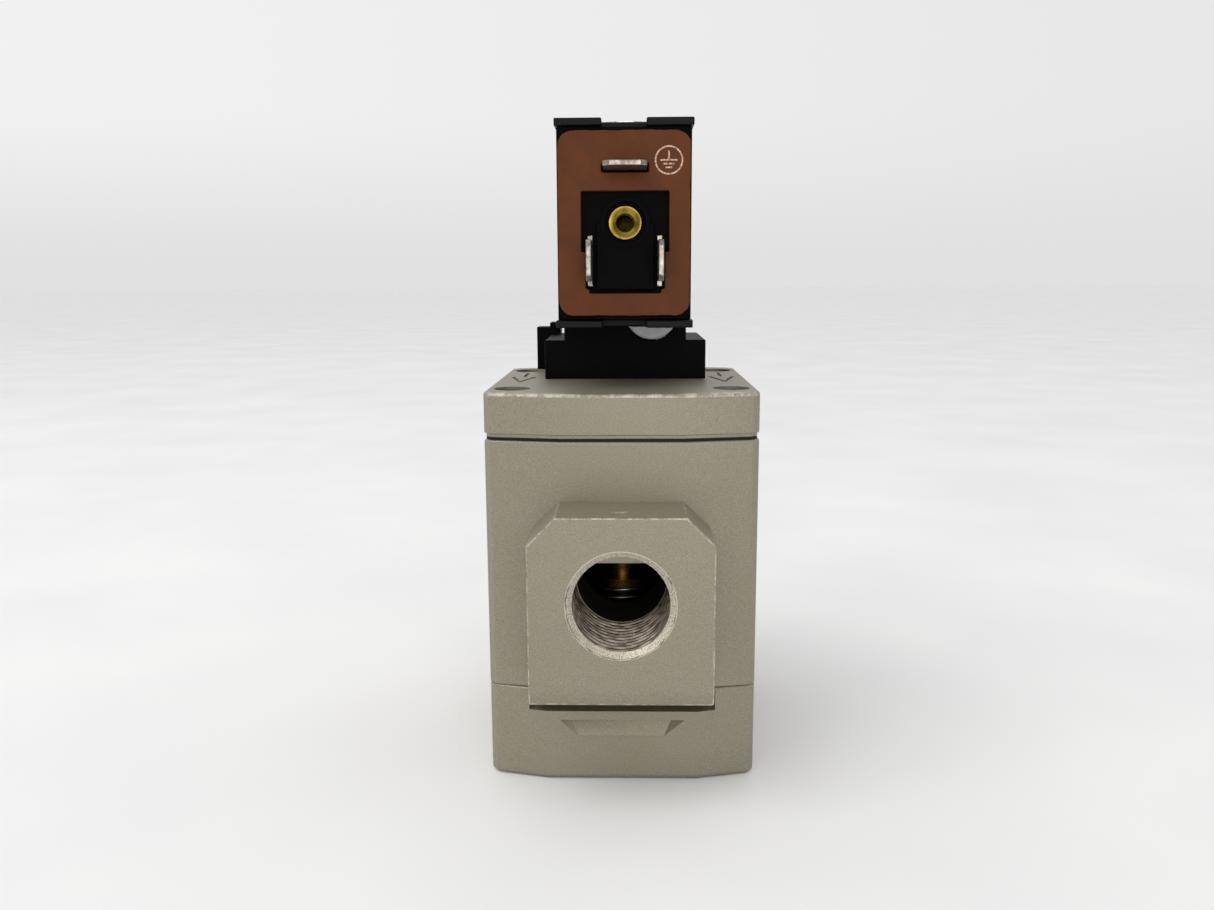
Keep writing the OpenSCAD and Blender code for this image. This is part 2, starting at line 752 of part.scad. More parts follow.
module override_button() {
    color([0.74, 0.74, 0.73]) union() {
        translate([button_x, base_front - button_proud, button_z]) rotate([90, 0, 0]) mirror([0, 0, 1])
            linear_extrude(height = button_depth) button_outline();
        translate([button_stem_x, button_rear - eps, button_stem_z]) rotate([-90, 0, 0])
            cylinder(r = button_stem_r, h = button_stem_out);
    }
}

module override_o_ring() {
    color([0.07, 0.07, 0.07])
        translate([button_stem_x, button_room_y + button_ring_room / 2, button_stem_z]) rotate([90, 0, 0])
        rotate_extrude() translate([button_stem_r + run + button_ring_r, 0])
            circle(r = button_ring_r, $fn = 32);
}

// ---------- plunger and its tube ----------

module core_tube() {
    color([0.7, 0.71, 0.73]) at_pilot() {
        translate([0, 0, coil_z - tube_flange_h]) tube(tube_flange_r, tube_bore_r, tube_flange_h);
        translate([0, 0, coil_z - eps]) tube(tube_r, tube_bore_r, core_top - coil_z + eps);
    }
}

module core_tube_o_ring() {
    color([0.07, 0.07, 0.07]) at_pilot() translate([0, 0, coil_z - tube_flange_h - o_ring_r - touch])
        o_ring(plunger_room_r - o_ring_r - touch);
}

module fixed_core() {
    color([0.62, 0.63, 0.65]) at_pilot() difference() {
        union() {
            translate([0, 0, core_z]) cylinder(r = tube_bore_r, h = core_top - core_z);
            translate([0, 0, core_top - eps]) cylinder(r = stud_r, h = nut_h + coil_top - core_top);
            translate([0, 0, spring_bore_z + plunger_stroke + 0.1])
                cylinder(r = core_pin_r, h = core_z - spring_bore_z - plunger_stroke);
        }
        translate([0, 0, spring_bore_z]) cylinder(r = orifice_r, h = coil_h);
    }
}

module plunger() {
    color([0.66, 0.67, 0.69]) at_pilot() difference() {
        translate([0, 0, nozzle_top]) cylinder(r = plunger_r, h = plunger_top - nozzle_top);
        translate([0, 0, spring_bore_z]) cylinder(r = spring_bore_r, h = plunger_top - spring_bore_z + eps);
        translate([0, 0, spring_bore_z - exhaust_seal_h])
            cylinder(r = exhaust_seal_r, h = exhaust_seal_h + eps);
        translate([0, 0, nozzle_top - eps]) cylinder(r = plunger_seal_r, h = plunger_seal_h + eps);
    }
}

module plunger_seal() {
    color([0.07, 0.07, 0.07]) at_pilot() translate([0, 0, nozzle_top])
        cylinder(r = plunger_seal_r, h = plunger_seal_h);
}

module exhaust_seal() {
    color([0.07, 0.07, 0.07]) at_pilot() translate([0, 0, spring_bore_z - exhaust_seal_h])
        cylinder(r = exhaust_seal_r, h = exhaust_seal_h);
}

module plunger_spring() {
    color([0.7, 0.71, 0.72]) at_pilot() translate([0, 0, spring_bore_z])
        spring((core_pin_r + spring_bore_r) / 2 + touch, plunger_wire_r, core_z - spring_bore_z, 9);
}

// ---------- coil ----------

module bobbin() {
    color([0.85, 0.82, 0.7]) at_pilot() translate([0, 0, housing_z]) {
        tube(tube_r + bobbin_wall, tube_r + run, housing_h);
        for (z = [0, housing_h - bobbin_flange_h]) translate([0, 0, z])
            tube(bobbin_r, tube_r + bobbin_wall / 2, bobbin_flange_h);
    }
}

module winding() {
    color([0.72, 0.4, 0.22]) at_pilot() translate([0, 0, housing_z + bobbin_flange_h])
        tube(bobbin_r - 0.4, tube_r + bobbin_wall, housing_h - 2 * bobbin_flange_h);
}

module coil_housing() {
    left = pilot_x - coil_w / 2;
    back = coil_back - yoke_t;
    color([0.05, 0.05, 0.055]) difference() {
        union() {
            translate([left, coil_face, housing_z]) cube([coil_w, back - coil_face, housing_h]);
            on_face(connector_x, insert_z) cylinder(r = boss_r, h = boss_h);
            translate([connector_x - column_w / 2, coil_face - column_out, window_foot + 0.5])
                cube([column_w, boss_h, insert_z - window_foot - 0.5]);
        }
        at_pilot() {
            translate([0, 0, housing_z - eps]) cylinder(r = bobbin_r, h = housing_h + 2 * eps);
        }
        on_face(connector_x, insert_z) cylinder(r = boss_gap_r, h = boss_h + 1);
        on_face(connector_x, insert_z) mirror([0, 0, 1]) cylinder(r = insert_r, h = insert_depth + 0.2);
        blade_slots();
    }
}

// The blades' roots sit in the housing; the same outlines cut their slots
module upright_blade(x) {
    tip = [blade_out, blade_w / 2];
    root = [blade_shoulder, blade_root / 2];
    side = [[-blade_hold, root[1]], root, [root[0], tip[1]], [tip[0] - blade_tip_cut, tip[1]],
            [tip[0], tip[1] - blade_tip_cut]];
    other = [for (i = [len(side) - 1:-1:0]) [side[i][0], -side[i][1]]];
    translate([x, coil_face, blade_z]) rotate([90, 0, -90]) translate([0, 0, -blade_t / 2])
        linear_extrude(height = blade_t) polygon(concat(side, other));
}

module level_blade() {
    half = earth_w / 2;
    translate([connector_x, coil_face, earth_z]) rotate([0, 0, -90]) translate([0, 0, -blade_t / 2])
        linear_extrude(height = blade_t)
        polygon([[-blade_hold, -half], [blade_out - blade_tip_cut, -half], [blade_out, -half + blade_tip_cut],
                 [blade_out, half - blade_tip_cut], [blade_out - blade_tip_cut, half], [-blade_hold, half]]);
}

module blade_slots() {
    for (side = [-1, 1]) upright_blade(connector_x + side * blade_pitch / 2);
    level_blade();
}

module line_blades() {
    color([0.78, 0.77, 0.73]) for (side = [-1, 1]) upright_blade(connector_x + side * blade_pitch / 2);
}

module earth_blade() {
    color([0.78, 0.77, 0.73]) level_blade();
}

module connector_insert() {
    color([0.8, 0.62, 0.25]) on_face(connector_x, insert_z) translate([0, 0, -insert_depth]) difference() {
        cylinder(r = insert_r, h = insert_depth + insert_proud);
        translate([0, 0, 1]) cylinder(r = insert_bore_r, h = insert_depth + insert_proud);
    }
}

module connector_gasket() {
    z0 = housing_z + (housing_h - gasket_h) / 2;
    left = pilot_x - gasket_w / 2;
    c = gasket_corner;
    color([0.39, 0.22, 0.11]) translate([0, coil_face, 0]) rotate([90, 0, 0])
        linear_extrude(height = gasket_t)
        difference() {
            union() {
                translate([left + c, z0]) square([gasket_w - 2 * c, gasket_h]);
                translate([left, z0 + c]) square([gasket_w, gasket_h - 2 * c]);
                for (x = [left + c, left + gasket_w - c], z = [z0 + c, z0 + gasket_h - c])
                    translate([x, z]) circle(r = c);
            }
            translate([connector_x - window_w / 2, window_step]) square([window_w, window_top - window_step]);
            translate([connector_x - window_low_w / 2, window_foot])
                square([window_low_w, window_step - window_foot + eps]);
            for (side = [-1, 1])
                translate([connector_x + side * blade_pitch / 2, blade_z])
                    square([blade_t + 2 * blade_room, blade_root + 2 * blade_room], center = true);
            translate([connector_x, earth_z])
                square([earth_w + 2 * blade_room, blade_t + 2 * blade_room], center = true);
        }
}

// Steel frame: top and bottom plates joined behind the housing, with notched lips in front
module yoke_plate(z) {
    left = pilot_x - yoke_w / 2;
    difference() {
        translate([left, coil_face - lip_out, z]) cube([yoke_w, coil_d + lip_out, yoke_t]);
        translate([pilot_x - lip_notch_w / 2, coil_face - lip_out - 1, z - 1])
            cube([lip_notch_w, lip_notch_d + 1, yoke_t + 2]);
        at_pilot() translate([0, 0, z - 1]) cylinder(r = tube_r + run, h = yoke_t + 2);
    }
}

module yoke() {
    color([0.09, 0.09, 0.095]) union() {
        yoke_plate(coil_z);
        yoke_plate(coil_top - yoke_t);
        translate([pilot_x - yoke_w / 2, coil_back - yoke_t, coil_z]) cube([yoke_w, yoke_t, coil_h]);
    }
}

module coil_nut() {
    color([0.6, 0.61, 0.62]) at_pilot() translate([0, 0, coil_top]) difference() {
        cylinder(r = nut_r, h = nut_h, $fn = 6);
        translate([0, 0, -eps]) cylinder(r = stud_r, h = nut_h + 2 * eps);
    }
}

main_body();
top_cap();
bottom_cap();
cap_gasket();
cap_screws();
bottom_screws();
bottom_o_ring();
seat_ring();
poppet();
poppet_seal();
poppet_spring();
poppet_o_ring();
guide_plate();
guide_plate_o_ring();
rod_bush();
rod_o_ring();
piston();
piston_seal();
piston_rod();
rod_pad();
piston_spring();
pilot_base();
pilot_gasket();
pilot_screws();
pilot_nozzle();
override_button();
override_o_ring();
core_tube();
core_tube_o_ring();
fixed_core();
plunger();
plunger_seal();
exhaust_seal();
plunger_spring();
bobbin();
winding();
coil_housing();
yoke();
coil_nut();
line_blades();
earth_blade();
connector_insert();
connector_gasket();
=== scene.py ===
"""The looks of a pilot-operated 3/2-way solenoid valve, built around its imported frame.

Metres, Z up, the inlet port looks along -Y. The sections follow the valve as it is put together: castings,
port threads and numbers, screws, poppet, springs, piston drive, pilot base, override, coil, connector face.
"""
import json
import math

import bmesh
import bpy
import numpy as np
from mathutils import Matrix, Vector, geometry


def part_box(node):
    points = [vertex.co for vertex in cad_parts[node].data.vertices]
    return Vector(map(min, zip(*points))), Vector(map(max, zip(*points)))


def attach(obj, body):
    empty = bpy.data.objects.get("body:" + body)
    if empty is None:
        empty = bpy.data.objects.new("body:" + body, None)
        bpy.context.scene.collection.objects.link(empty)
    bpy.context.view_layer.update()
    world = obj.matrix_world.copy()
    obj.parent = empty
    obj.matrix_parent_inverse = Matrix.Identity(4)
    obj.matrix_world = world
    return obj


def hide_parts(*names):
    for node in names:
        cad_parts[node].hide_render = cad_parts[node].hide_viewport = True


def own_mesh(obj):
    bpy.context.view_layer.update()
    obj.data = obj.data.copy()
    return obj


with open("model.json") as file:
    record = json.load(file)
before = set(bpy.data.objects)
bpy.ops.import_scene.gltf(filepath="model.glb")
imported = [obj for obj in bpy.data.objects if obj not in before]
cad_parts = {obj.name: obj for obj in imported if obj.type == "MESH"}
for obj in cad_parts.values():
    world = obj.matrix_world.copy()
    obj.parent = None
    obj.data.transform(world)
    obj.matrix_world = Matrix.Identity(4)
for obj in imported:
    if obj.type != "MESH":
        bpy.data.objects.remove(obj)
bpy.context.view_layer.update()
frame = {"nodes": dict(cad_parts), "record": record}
MM = 0.001                              # one millimetre in the frame's metres

# ---------- bottom cap ----------
# The foot of the body: a pressure die casting with draft-rounded edges, a screw-in exhaust port
# underneath and a sloping recess on its front and rear. It is painted before it is machined.


def merged_copy(name, node):
    """A welded copy of a CAD node: equal corners become one, and flat triangles become whole faces."""
    source = frame["nodes"][node].data
    points = np.empty(len(source.vertices) * 3)
    source.vertices.foreach_get("co", points)
    corners = np.empty(len(source.loops), int)
    source.loops.foreach_get("vertex_index", corners)
    points, index = np.unique(points.reshape(-1, 3).round(7), axis=0, return_inverse=True)
    mesh = bpy.data.meshes.new(name)
    mesh.from_pydata(points, [], index.reshape(-1)[corners].reshape(-1, 3))
    mesh.validate()
    whole = bmesh.new()
    whole.from_mesh(mesh)
    bmesh.ops.dissolve_limit(whole, angle_limit=math.radians(0.3), verts=whole.verts, edges=whole.edges)
    whole.to_mesh(mesh)
    whole.free()
    piece = bpy.data.objects.new(name, mesh)
    bpy.context.scene.collection.objects.link(piece)
    return piece


def edge_facts(mesh):
    """Each edge's middle point, its bend in degrees (0 is flat) and whether it stands out.

    The bend is the angle between the normals of its two faces, the arc cosine of their dot product. The edge
    stands out where the second face's centre lies behind the first face."""
    ends = np.empty(len(mesh.edges) * 2, int)
    mesh.edges.foreach_get("vertices", ends)
    points = np.empty(len(mesh.vertices) * 3)
    mesh.vertices.foreach_get("co", points)
    middle = points.reshape(-1, 3)[ends.reshape(-1, 2)].mean(1)
    normal = np.empty(len(mesh.polygons) * 3)
    mesh.polygons.foreach_get("normal", normal)
    centre = np.empty(len(mesh.polygons) * 3)
    mesh.polygons.foreach_get("center", centre)
    normal, centre = normal.reshape(-1, 3), centre.reshape(-1, 3)
    sizes = np.empty(len(mesh.polygons), int)
    mesh.polygons.foreach_get("loop_total", sizes)
    face_of_loop = np.repeat(np.arange(len(sizes)), sizes)
    edge_of_loop = np.empty(len(mesh.loops), int)
    mesh.loops.foreach_get("edge_index", edge_of_loop)
    first = np.zeros(len(mesh.edges), int)
    last = np.zeros(len(mesh.edges), int)
    last[edge_of_loop] = face_of_loop
    first[edge_of_loop[::-1]] = face_of_loop[::-1]
    bend = np.degrees(np.arccos((normal[first] * normal[last]).sum(1).clip(-1, 1)))
    stands_out = ((centre[last] - middle) * normal[first]).sum(1) < 0
    return middle, bend, stands_out


FOLD_GAP = 0.012 * MM                   # corners closer than this are one: it closes the bevel's folds
SHARP_FROM = 20                         # degrees: an edge that bends more stays sharp unless it is rounded


def round_edges(piece, radius, share):
    """Rounds each edge with an arc of its share, from 0 to 1, of the radius. Flat faces stay flat."""
    mesh = piece.data
    mesh.polygons.foreach_set("use_smooth", np.ones(len(mesh.polygons), bool))
    mesh.attributes.new("bevel_weight_edge", "FLOAT", "EDGE").data.foreach_set("value", share)
    _, bend, _ = edge_facts(mesh)
    sharp = (bend > SHARP_FROM) & (share == 0)
    mesh.attributes.new("sharp_edge", "BOOLEAN", "EDGE").data.foreach_set("value", sharp)
    bevel = piece.modifiers.new("rounded_edges", "BEVEL")
    bevel.limit_method = "WEIGHT"
    bevel.width = radius
    bevel.segments = 3
    bevel.use_clamp_overlap = False
    bevel.material = len(mesh.materials) - 1
    bevel.harden_normals = True
    weld = piece.modifiers.new("folds_closed", "WELD")
    weld.merge_threshold = FOLD_GAP


def linear(colour):
    """A shader colour from an sRGB hex string: each channel is decoded by the sRGB curve."""
    part = np.array([int(colour[i:i + 2], 16) for i in (1, 3, 5)]) / 255
    light = np.where(part <= 0.04045, part / 12.92, ((part + 0.055) / 1.055) ** 2.4)
    return (*light.tolist(), 1.0)


def add(tree, kind, links=None, stops=(), **settings):
    """Adds a shader node. links gives its inputs, by name or number, a node, a socket or a plain value.

    stops are a colour ramp's ends, each a place from 0 to 1 and an sRGB colour."""
    node = tree.nodes.new("ShaderNode" + kind)
    for name, value in settings.items():
        setattr(node, name, value)
    for name, value in (links or {}).items():
        if isinstance(value, bpy.types.ShaderNode):
            value = next(output for output in value.outputs if output.enabled)
        if isinstance(value, bpy.types.NodeSocket):
            tree.links.new(value, node.inputs[name])
        else:
            node.inputs[name].default_value = value
    for number, (at, colour) in enumerate(stops):
        node.color_ramp.elements[number].position = at
        node.color_ramp.elements[number].color = linear(colour)
    return node


def new_material(name):
    """An empty node material; returns it, its tree and the object-space position in metres."""
    material = bpy.data.materials.new(name)
    material.use_nodes = True
    tree = material.node_tree
    tree.nodes.clear()
    place = add(tree, "TexCoord").outputs["Object"]
    return material, tree, place


def finish_material(tree, surface, bump_height, depth):
    """Joins the shader to the output; bump_height, from 0 to 1, is worth depth in metres."""
    bump = add(tree, "Bump", {"Height": bump_height, "Distance": depth, "Strength": 1.0})
    tree.links.new(bump.outputs["Normal"], surface.inputs["Normal"])
    add(tree, "OutputMaterial", {"Surface": surface})


def use(piece, material, body="valve_body", stands_for=()):
    """Gives a piece its one material and its body, and hides the CAD nodes it replaces."""
    piece.data.materials.clear()
    piece.data.materials.append(material)
    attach(piece, body)
    if stands_for:
        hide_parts(*stands_for)
    return piece


def node_box(node):
    """A CAD node's lowest and highest corners as arrays."""
    low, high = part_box(node)
    return np.array(low), np.array(high)


body_high = node_box("main_body")[1]
foot_low, foot_high = node_box("bottom_cap")
cap_high = node_box("top_cap")[1]
mounts = {mount["name"]: mount for mount in frame["record"]["mounts"]}
inlet = mounts["port_1_inlet"]
port_z = inlet["pos_m"][2]
port_r = inlet["dims"]["r_mm"] * MM
exhaust_r = mounts["port_3_exhaust"]["dims"]["r_mm"] * MM
SPIGOT_H = 4 * MM                       # the foot's spigot stands this far above the joint
main_z = foot_high[2] - SPIGOT_H
half_d = cap_high[1]

# Champagne enamel, sprayed on a shot-blasted die casting: a satin coat with a fine metallic sparkle that
# follows the cast grain. The ports are machined through it, so a narrow ring round each is bare. The ways
# inside are coloured dull and near black: painted shade, where little light reaches.
GRAIN = 0.17 * MM                       # drawn a little coarser than the real blasted grain, so that it shows
PAINT_DEPTH = 0.018 * MM
BARE_RING = 0.2 * MM
SHADE_PAINTED_FROM = 3.5 * MM               # how far behind the middle flat the painted shade of the inside begins


def within_bore(tree, across, height, radius):
    """1 where the distance from a bore's axis, in X and the given height, is under the radius."""
    flat = add(tree, "CombineXYZ", {"X": across.outputs["X"], "Y": height})
    distance = add(tree, "VectorMath", {0: flat}, operation="LENGTH")
    return add(tree, "Math", {0: distance.outputs["Value"], 1: radius}, operation="LESS_THAN")


def champagne_enamel():
    """Two near tints of paint mixed by a slow drift, the bare ring over them and painted shade on the ways
    inside over both.
    """
    material, tree, place = new_material("champagne_enamel_on_die_casting")
    across = add(tree, "SeparateXYZ", {0: place})
    lifted = add(tree, "Math", {0: across.outputs["Z"], 1: port_z}, operation="SUBTRACT")
    side = within_bore(tree, across, lifted, port_r + BARE_RING)
    under = within_bore(tree, across, across.outputs["Y"], exhaust_r + BARE_RING)
    low = add(tree, "Math", {0: across.outputs["Z"], 1: main_z}, operation="LESS_THAN")
    under = add(tree, "Math", {0: under, 1: low}, operation="MULTIPLY")
    bare = add(tree, "Math", {0: side, 1: under}, operation="MAXIMUM")
    depth = add(tree, "Math", {0: across.outputs["Y"]}, operation="ABSOLUTE")
    painted_shade_inside = add(tree, "Math", {0: depth, 1: half_d - SHADE_PAINTED_FROM}, operation="LESS_THAN")
    painted_shade_inside = add(tree, "Math", {0: painted_shade_inside, 1: side}, operation="MULTIPLY")
    grain = add(tree, "TexNoise", {"Vector": place, "Scale": 1 / GRAIN, "Detail": 2.0, "Roughness": 0.6})
    drift = add(tree, "TexNoise", {"Vector": place, "Scale": 1 / (7 * MM), "Detail": 2.0})
    paint = add(tree, "ValToRGB", {"Fac": grain}, stops=((0.3, "#7F796B"), (0.68, "#A29D8D")))
    yellower = add(tree, "ValToRGB", {"Fac": grain}, stops=((0.3, "#7F7864"), (0.68, "#A19A85")))
    paint = add(tree, "Mix", {0: drift, 6: paint, 7: yellower}, data_type="RGBA")
    colour = add(tree, "Mix", {0: bare, 6: paint, 7: linear("#BDB49F")}, data_type="RGBA")
    # painted shade: the ways inside are coloured near black, where little light reaches them
    colour = add(tree, "Mix", {0: painted_shade_inside, 6: colour, 7: linear("#1B1814")}, data_type="RGBA")
    rough = add(tree, "MapRange", {"Value": grain, "From Min": 0.3, "From Max": 0.7,
                                   "To Min": 0.42, "To Max": 0.56})
    rough = add(tree, "Mix", {0: painted_shade_inside, 2: rough, 3: 0.85})
    metal = add(tree, "Mix", {0: painted_shade_inside, 2: 0.45, 3: 0.2})
    surface = add(tree, "BsdfPrincipled", {"Base Color": colour, "Roughness": rough, "Metallic": metal})
    finish_material(tree, surface, grain, PAINT_DEPTH)
    return material


enamel = champagne_enamel()
PAD_FROM = half_d + 0.4 * MM            # what stands out further than this is a pad
LID_EDGE_FROM = cap_high[2] - 0.7 * MM


def enamel_with_painted_highlight():
    """The same enamel on the rounded edges and the raised digits, with a painted highlight: a lighter tint in
    broken stretches along the pads' edges and the lid's upper edge, and on the digits. Every other rounded
    edge is as sprayed."""
    material, tree, place = new_material("champagne_enamel_painted_highlight")
    grain = add(tree, "TexNoise", {"Vector": place, "Scale": 1 / GRAIN, "Detail": 2.0})
    wear_and_highlight_noise = add(tree, "TexNoise", {"Vector": place, "Scale": 1 / (1.8 * MM), "Detail": 3.0, "Roughness": 0.7})
    kept = add(tree, "ValToRGB", {"Fac": grain}, stops=((0.3, "#7F796B"), (0.68, "#A29D8D")))
    # painted highlight: a lighter tint for the edges that catch the light, broken up by noise
    tint = add(tree, "ValToRGB", {"Fac": grain}, stops=((0.35, "#A8A291"), (0.65, "#D2CDBF")))
    wear_and_highlight = add(tree, "MapRange", {"Value": wear_and_highlight_noise, "From Min": 0.42, "From Max": 0.62})
    across = add(tree, "SeparateXYZ", {0: place})
    depth = add(tree, "Math", {0: across.outputs["Y"]}, operation="ABSOLUTE")
    pad = add(tree, "Math", {0: depth, 1: PAD_FROM}, operation="GREATER_THAN")
    lid = add(tree, "Math", {0: across.outputs["Z"], 1: LID_EDGE_FROM}, operation="GREATER_THAN")
    highlit_places = add(tree, "Math", {0: pad, 1: lid}, operation="MAXIMUM")
    wear_and_highlight = add(tree, "Math", {0: wear_and_highlight, 1: highlit_places}, operation="MULTIPLY")
    tint = add(tree, "Mix", {0: wear_and_highlight, 6: kept, 7: tint}, data_type="RGBA")
    surface = add(tree, "BsdfPrincipled", {"Base Color": tint, "Roughness": 0.4, "Metallic": 0.5})
    finish_material(tree, surface, grain, 0.01 * MM)
    return material


painted_highlight_enamel = enamel_with_painted_highlight()
FRONT_FROM = 21.3 * MM                  # what lies further from the middle is the front or rear face
SIDE_FROM = body_high[0] - 1.2 * MM     # and this is a side face
RECESS_HALF = 16 * MM                   # the recess and notch under the pad lie within these three
RECESS_LOW = 6 * MM
RECESS_HIGH = main_z + 0.1 * MM
SAME_HEIGHT = 0.1 * MM


def casting(name, node, radius, rim_radius, rim_z):
    """A casting's welded copy: outer edges are rounded by radius, those at the height rim_z by rim_radius.

    Outer edges stand out and lie on the front, rear or side faces, clear of the recess under the pad."""
    piece = merged_copy(name, node)
    middle, bend, stands_out = edge_facts(piece.data)
    outer = (np.abs(middle[:, 1]) > FRONT_FROM) | (np.abs(middle[:, 0]) > SIDE_FROM)
    recess = (np.abs(middle[:, 0]) < RECESS_HALF) & (middle[:, 2] > RECESS_LOW) & (middle[:, 2] < RECESS_HIGH)
    outer &= stands_out & (bend > SHARP_FROM) & ~recess
    share = np.where(outer, radius / rim_radius, 0.0)
    share[outer & (np.abs(middle[:, 2] - rim_z) < SAME_HEIGHT)] = 1.0
    piece.data.materials.append(enamel)
    piece.data.materials.append(painted_highlight_enamel)
    round_edges(piece, rim_radius, share)
    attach(piece, "valve_body")
    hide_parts(node)


casting("bottom_casting", "bottom_cap", 0.4 * MM, 1.0 * MM, foot_low[2])

# ---------- main body ----------
# The middle casting, in one piece with a raised pad for each port, in front and behind. The pads' edges are
# crisp because a cutter faced them before the paint.
casting("main_casting", "main_body", 0.24 * MM, 0.36 * MM, body_high[2])

# ---------- port threads ----------
# G3/8 pipe threads cut in the two pads and G1/4 under the foot: 55 degree Whitworth form with rounded
# crests. A countersink, scraped matt by use, opens each mouth at 45 degrees.
MOUTH = 0.85 * MM                       # depth of the countersink
SKIN = 0.03 * MM                        # how far the threads and mouths stay clear of the bore's wall
TURN_POINTS = 120
STEPS_PER_PITCH = 12


def revolve_faces(angles, steps, ring):
    """Quads of an angles x steps grid, closed round the angle; ring also closes the profile on itself."""
    i = np.arange(angles)[:, None]
    j = np.arange(steps if ring else steps - 1)[None, :]
    next_i = (i + 1) % angles
    next_j = (j + 1) % steps
    quads = np.stack([i * steps + j, next_i * steps + j, next_i * steps + next_j, i * steps + next_j], -1)
    return quads.reshape(-1, 4).tolist()


def turned(name, radius, along, centre, axis="Z", ring=True):
    """A turned piece: point = centre + along on the axis + radius x (cos, sin) of the angle.

    radius and along are angles x steps grids, so both may follow the angle, as on a thread or a hexagon.
    The profile runs counter-clockwise in (radius, along); without ring, flat faces close its two ends."""
    angles, steps = radius.shape
    turn = np.linspace(0, 2 * np.pi, angles, endpoint=False)[:, None]
    a, b, c = radius * np.cos(turn), radius * np.sin(turn), np.broadcast_to(along, radius.shape)
    columns = {"X": (c, a, b), "Y": (b, c, a), "Z": (a, b, c)}[axis]
    points = np.stack(columns, -1).reshape(-1, 3) + np.asarray(centre)
    faces = revolve_faces(angles, steps, ring)
    if not ring:
        start = np.arange(angles) * steps
        faces += [start[::-1].tolist(), (start + steps - 1).tolist()]
    return shown_mesh(name, points, faces)


def shown_mesh(name, points, faces, crease=35):
    """An object from points and faces, smooth where its faces bend by less than crease degrees."""
    mesh = bpy.data.meshes.new(name)
    mesh.from_pydata(points, [], faces)
    mesh.polygons.foreach_set("use_smooth", np.ones(len(mesh.polygons), bool))
    mesh.set_sharp_from_angle(angle=math.radians(crease))
    piece = bpy.data.objects.new(name, mesh)
    bpy.context.scene.collection.objects.link(piece)
    return piece


def whitworth(phase):
    """Thread height from 0 at the crest to 1 at the root: a raised cosine squeezed towards a triangle."""
    wave = 0.5 - 0.5 * np.cos(2 * np.pi * phase)
    return 0.5 + (wave - 0.5) * (1 - 0.35 * (2 * wave - 1) ** 2) / 0.65


def mouth_of(mount):
    """The middle of a port's mouth, half its length out from its middle along its axis, and that axis."""
    out = np.array(mount["axis"])
    half_length = mount["dims"]["length_mm"] * MM / 2
    return np.array(mount["pos_m"]) + out * half_length, "XYZ"[int(np.argmax(np.abs(out)))]


def port_thread(name, mount, pitch, crest_depth, facing):
    """A threaded sleeve behind the mouth's cone, its bore's radius between crest and root by a wave.

    The wave is whitworth(distance inward / pitch - turn). facing is +1 or -1 along the axis."""
    major = mount["dims"]["r_mm"] * MM
    depth = mount["dims"]["length_mm"] * MM
    end = depth - 0.02 * MM
    inward = np.linspace(MOUTH, end, int(depth / pitch * STEPS_PER_PITCH))[None, :]
    turn = np.linspace(0, 1, TURN_POINTS, endpoint=False)[:, None]
    bore = major - crest_depth + whitworth(inward / pitch - turn * facing) * (crest_depth - 2 * SKIN)
    bore = np.minimum(bore, major - SKIN)
    outside = np.full((TURN_POINTS, 2), major - SKIN / 2)
    radius = np.concatenate([bore, outside], 1)
    along = np.concatenate([inward, [[end, MOUTH]]], 1)
    if facing > 0:
        along = -along
    else:
        radius, along = radius[:, ::-1], along[:, ::-1]
    return turned(name, radius, along, *mouth_of(mount))


def port_mouth(name, mount, crest_depth, facing):
    """The countersink: a ring whose section has three corners.

    They lie at the major radius on the face, at the thread's crest behind a 45 degree cone, and straight
    behind the first on the bore's wall."""
    wall = mount["dims"]["r_mm"] * MM - SKIN
    crest = mount["dims"]["r_mm"] * MM - crest_depth
    radius = np.array([[wall, crest, wall]]) * np.ones((TURN_POINTS, 1))
    along = np.array([[0.02 * MM, MOUTH, MOUTH]])
    if facing > 0:
        radius, along = radius[:, ::-1], -along[:, ::-1]
    return turned(name, radius[:, ::-1], along[:, ::-1], *mouth_of(mount))


def turned_metal(name, colour, dark, line, roughness):
    """Bare metal off a lathe: fine tool marks about line apart, and a little dulling in soft patches."""
    material, tree, place = new_material(name)
    patches = add(tree, "TexNoise", {"Vector": place, "Scale": 1 / (1.6 * MM), "Detail": 3.0})
    tint = add(tree, "ValToRGB", {"Fac": patches}, stops=((0.3, dark), (0.62, colour)))
    marks = add(tree, "TexNoise", {"Vector": place, "Scale": 1 / line, "Detail": 1.0})
    surface = add(tree, "BsdfPrincipled", {"Base Color": tint, "Roughness": roughness, "Metallic": 1.0})
    finish_material(tree, surface, marks, 0.002 * MM)
    return material


def scraped_alloy():
    """Light alloy scratched matt and sandy by many fittings."""
    material, tree, place = new_material("scraped_aluminium_alloy")
    scratches = add(tree, "TexNoise", {"Vector": place, "Scale": 1 / (0.15 * MM), "Detail": 3.0})
    tint = add(tree, "ValToRGB", {"Fac": scratches}, stops=((0.35, "#9C927C"), (0.6, "#EDE7D8")))
    surface = add(tree, "BsdfPrincipled", {"Base Color": tint, "Roughness": 0.6, "Metallic": 0.7})
    finish_material(tree, surface, scratches, 0.02 * MM)
    return material


machined_alloy = turned_metal("machined_aluminium_alloy", "#A3988A", "#5E5549", 0.16 * MM, 0.34)
scraped = scraped_alloy()
G_PITCH = 1.337 * MM                    # 19 turns per inch, for both thread sizes
G38_DEPTH = 0.856 * MM
G14_DEPTH = 0.7 * MM
for name, mount, crest_depth, facing in (("inlet", inlet, G38_DEPTH, -1),
                                         ("outlet", mounts["port_2_outlet"], G38_DEPTH, 1),
                                         ("exhaust", mounts["port_3_exhaust"], G14_DEPTH, -1)):
    use(port_thread(name + "_thread", mount, G_PITCH, crest_depth, facing), machined_alloy)
    use(port_mouth(name + "_mouth", mount, crest_depth, facing), scraped)

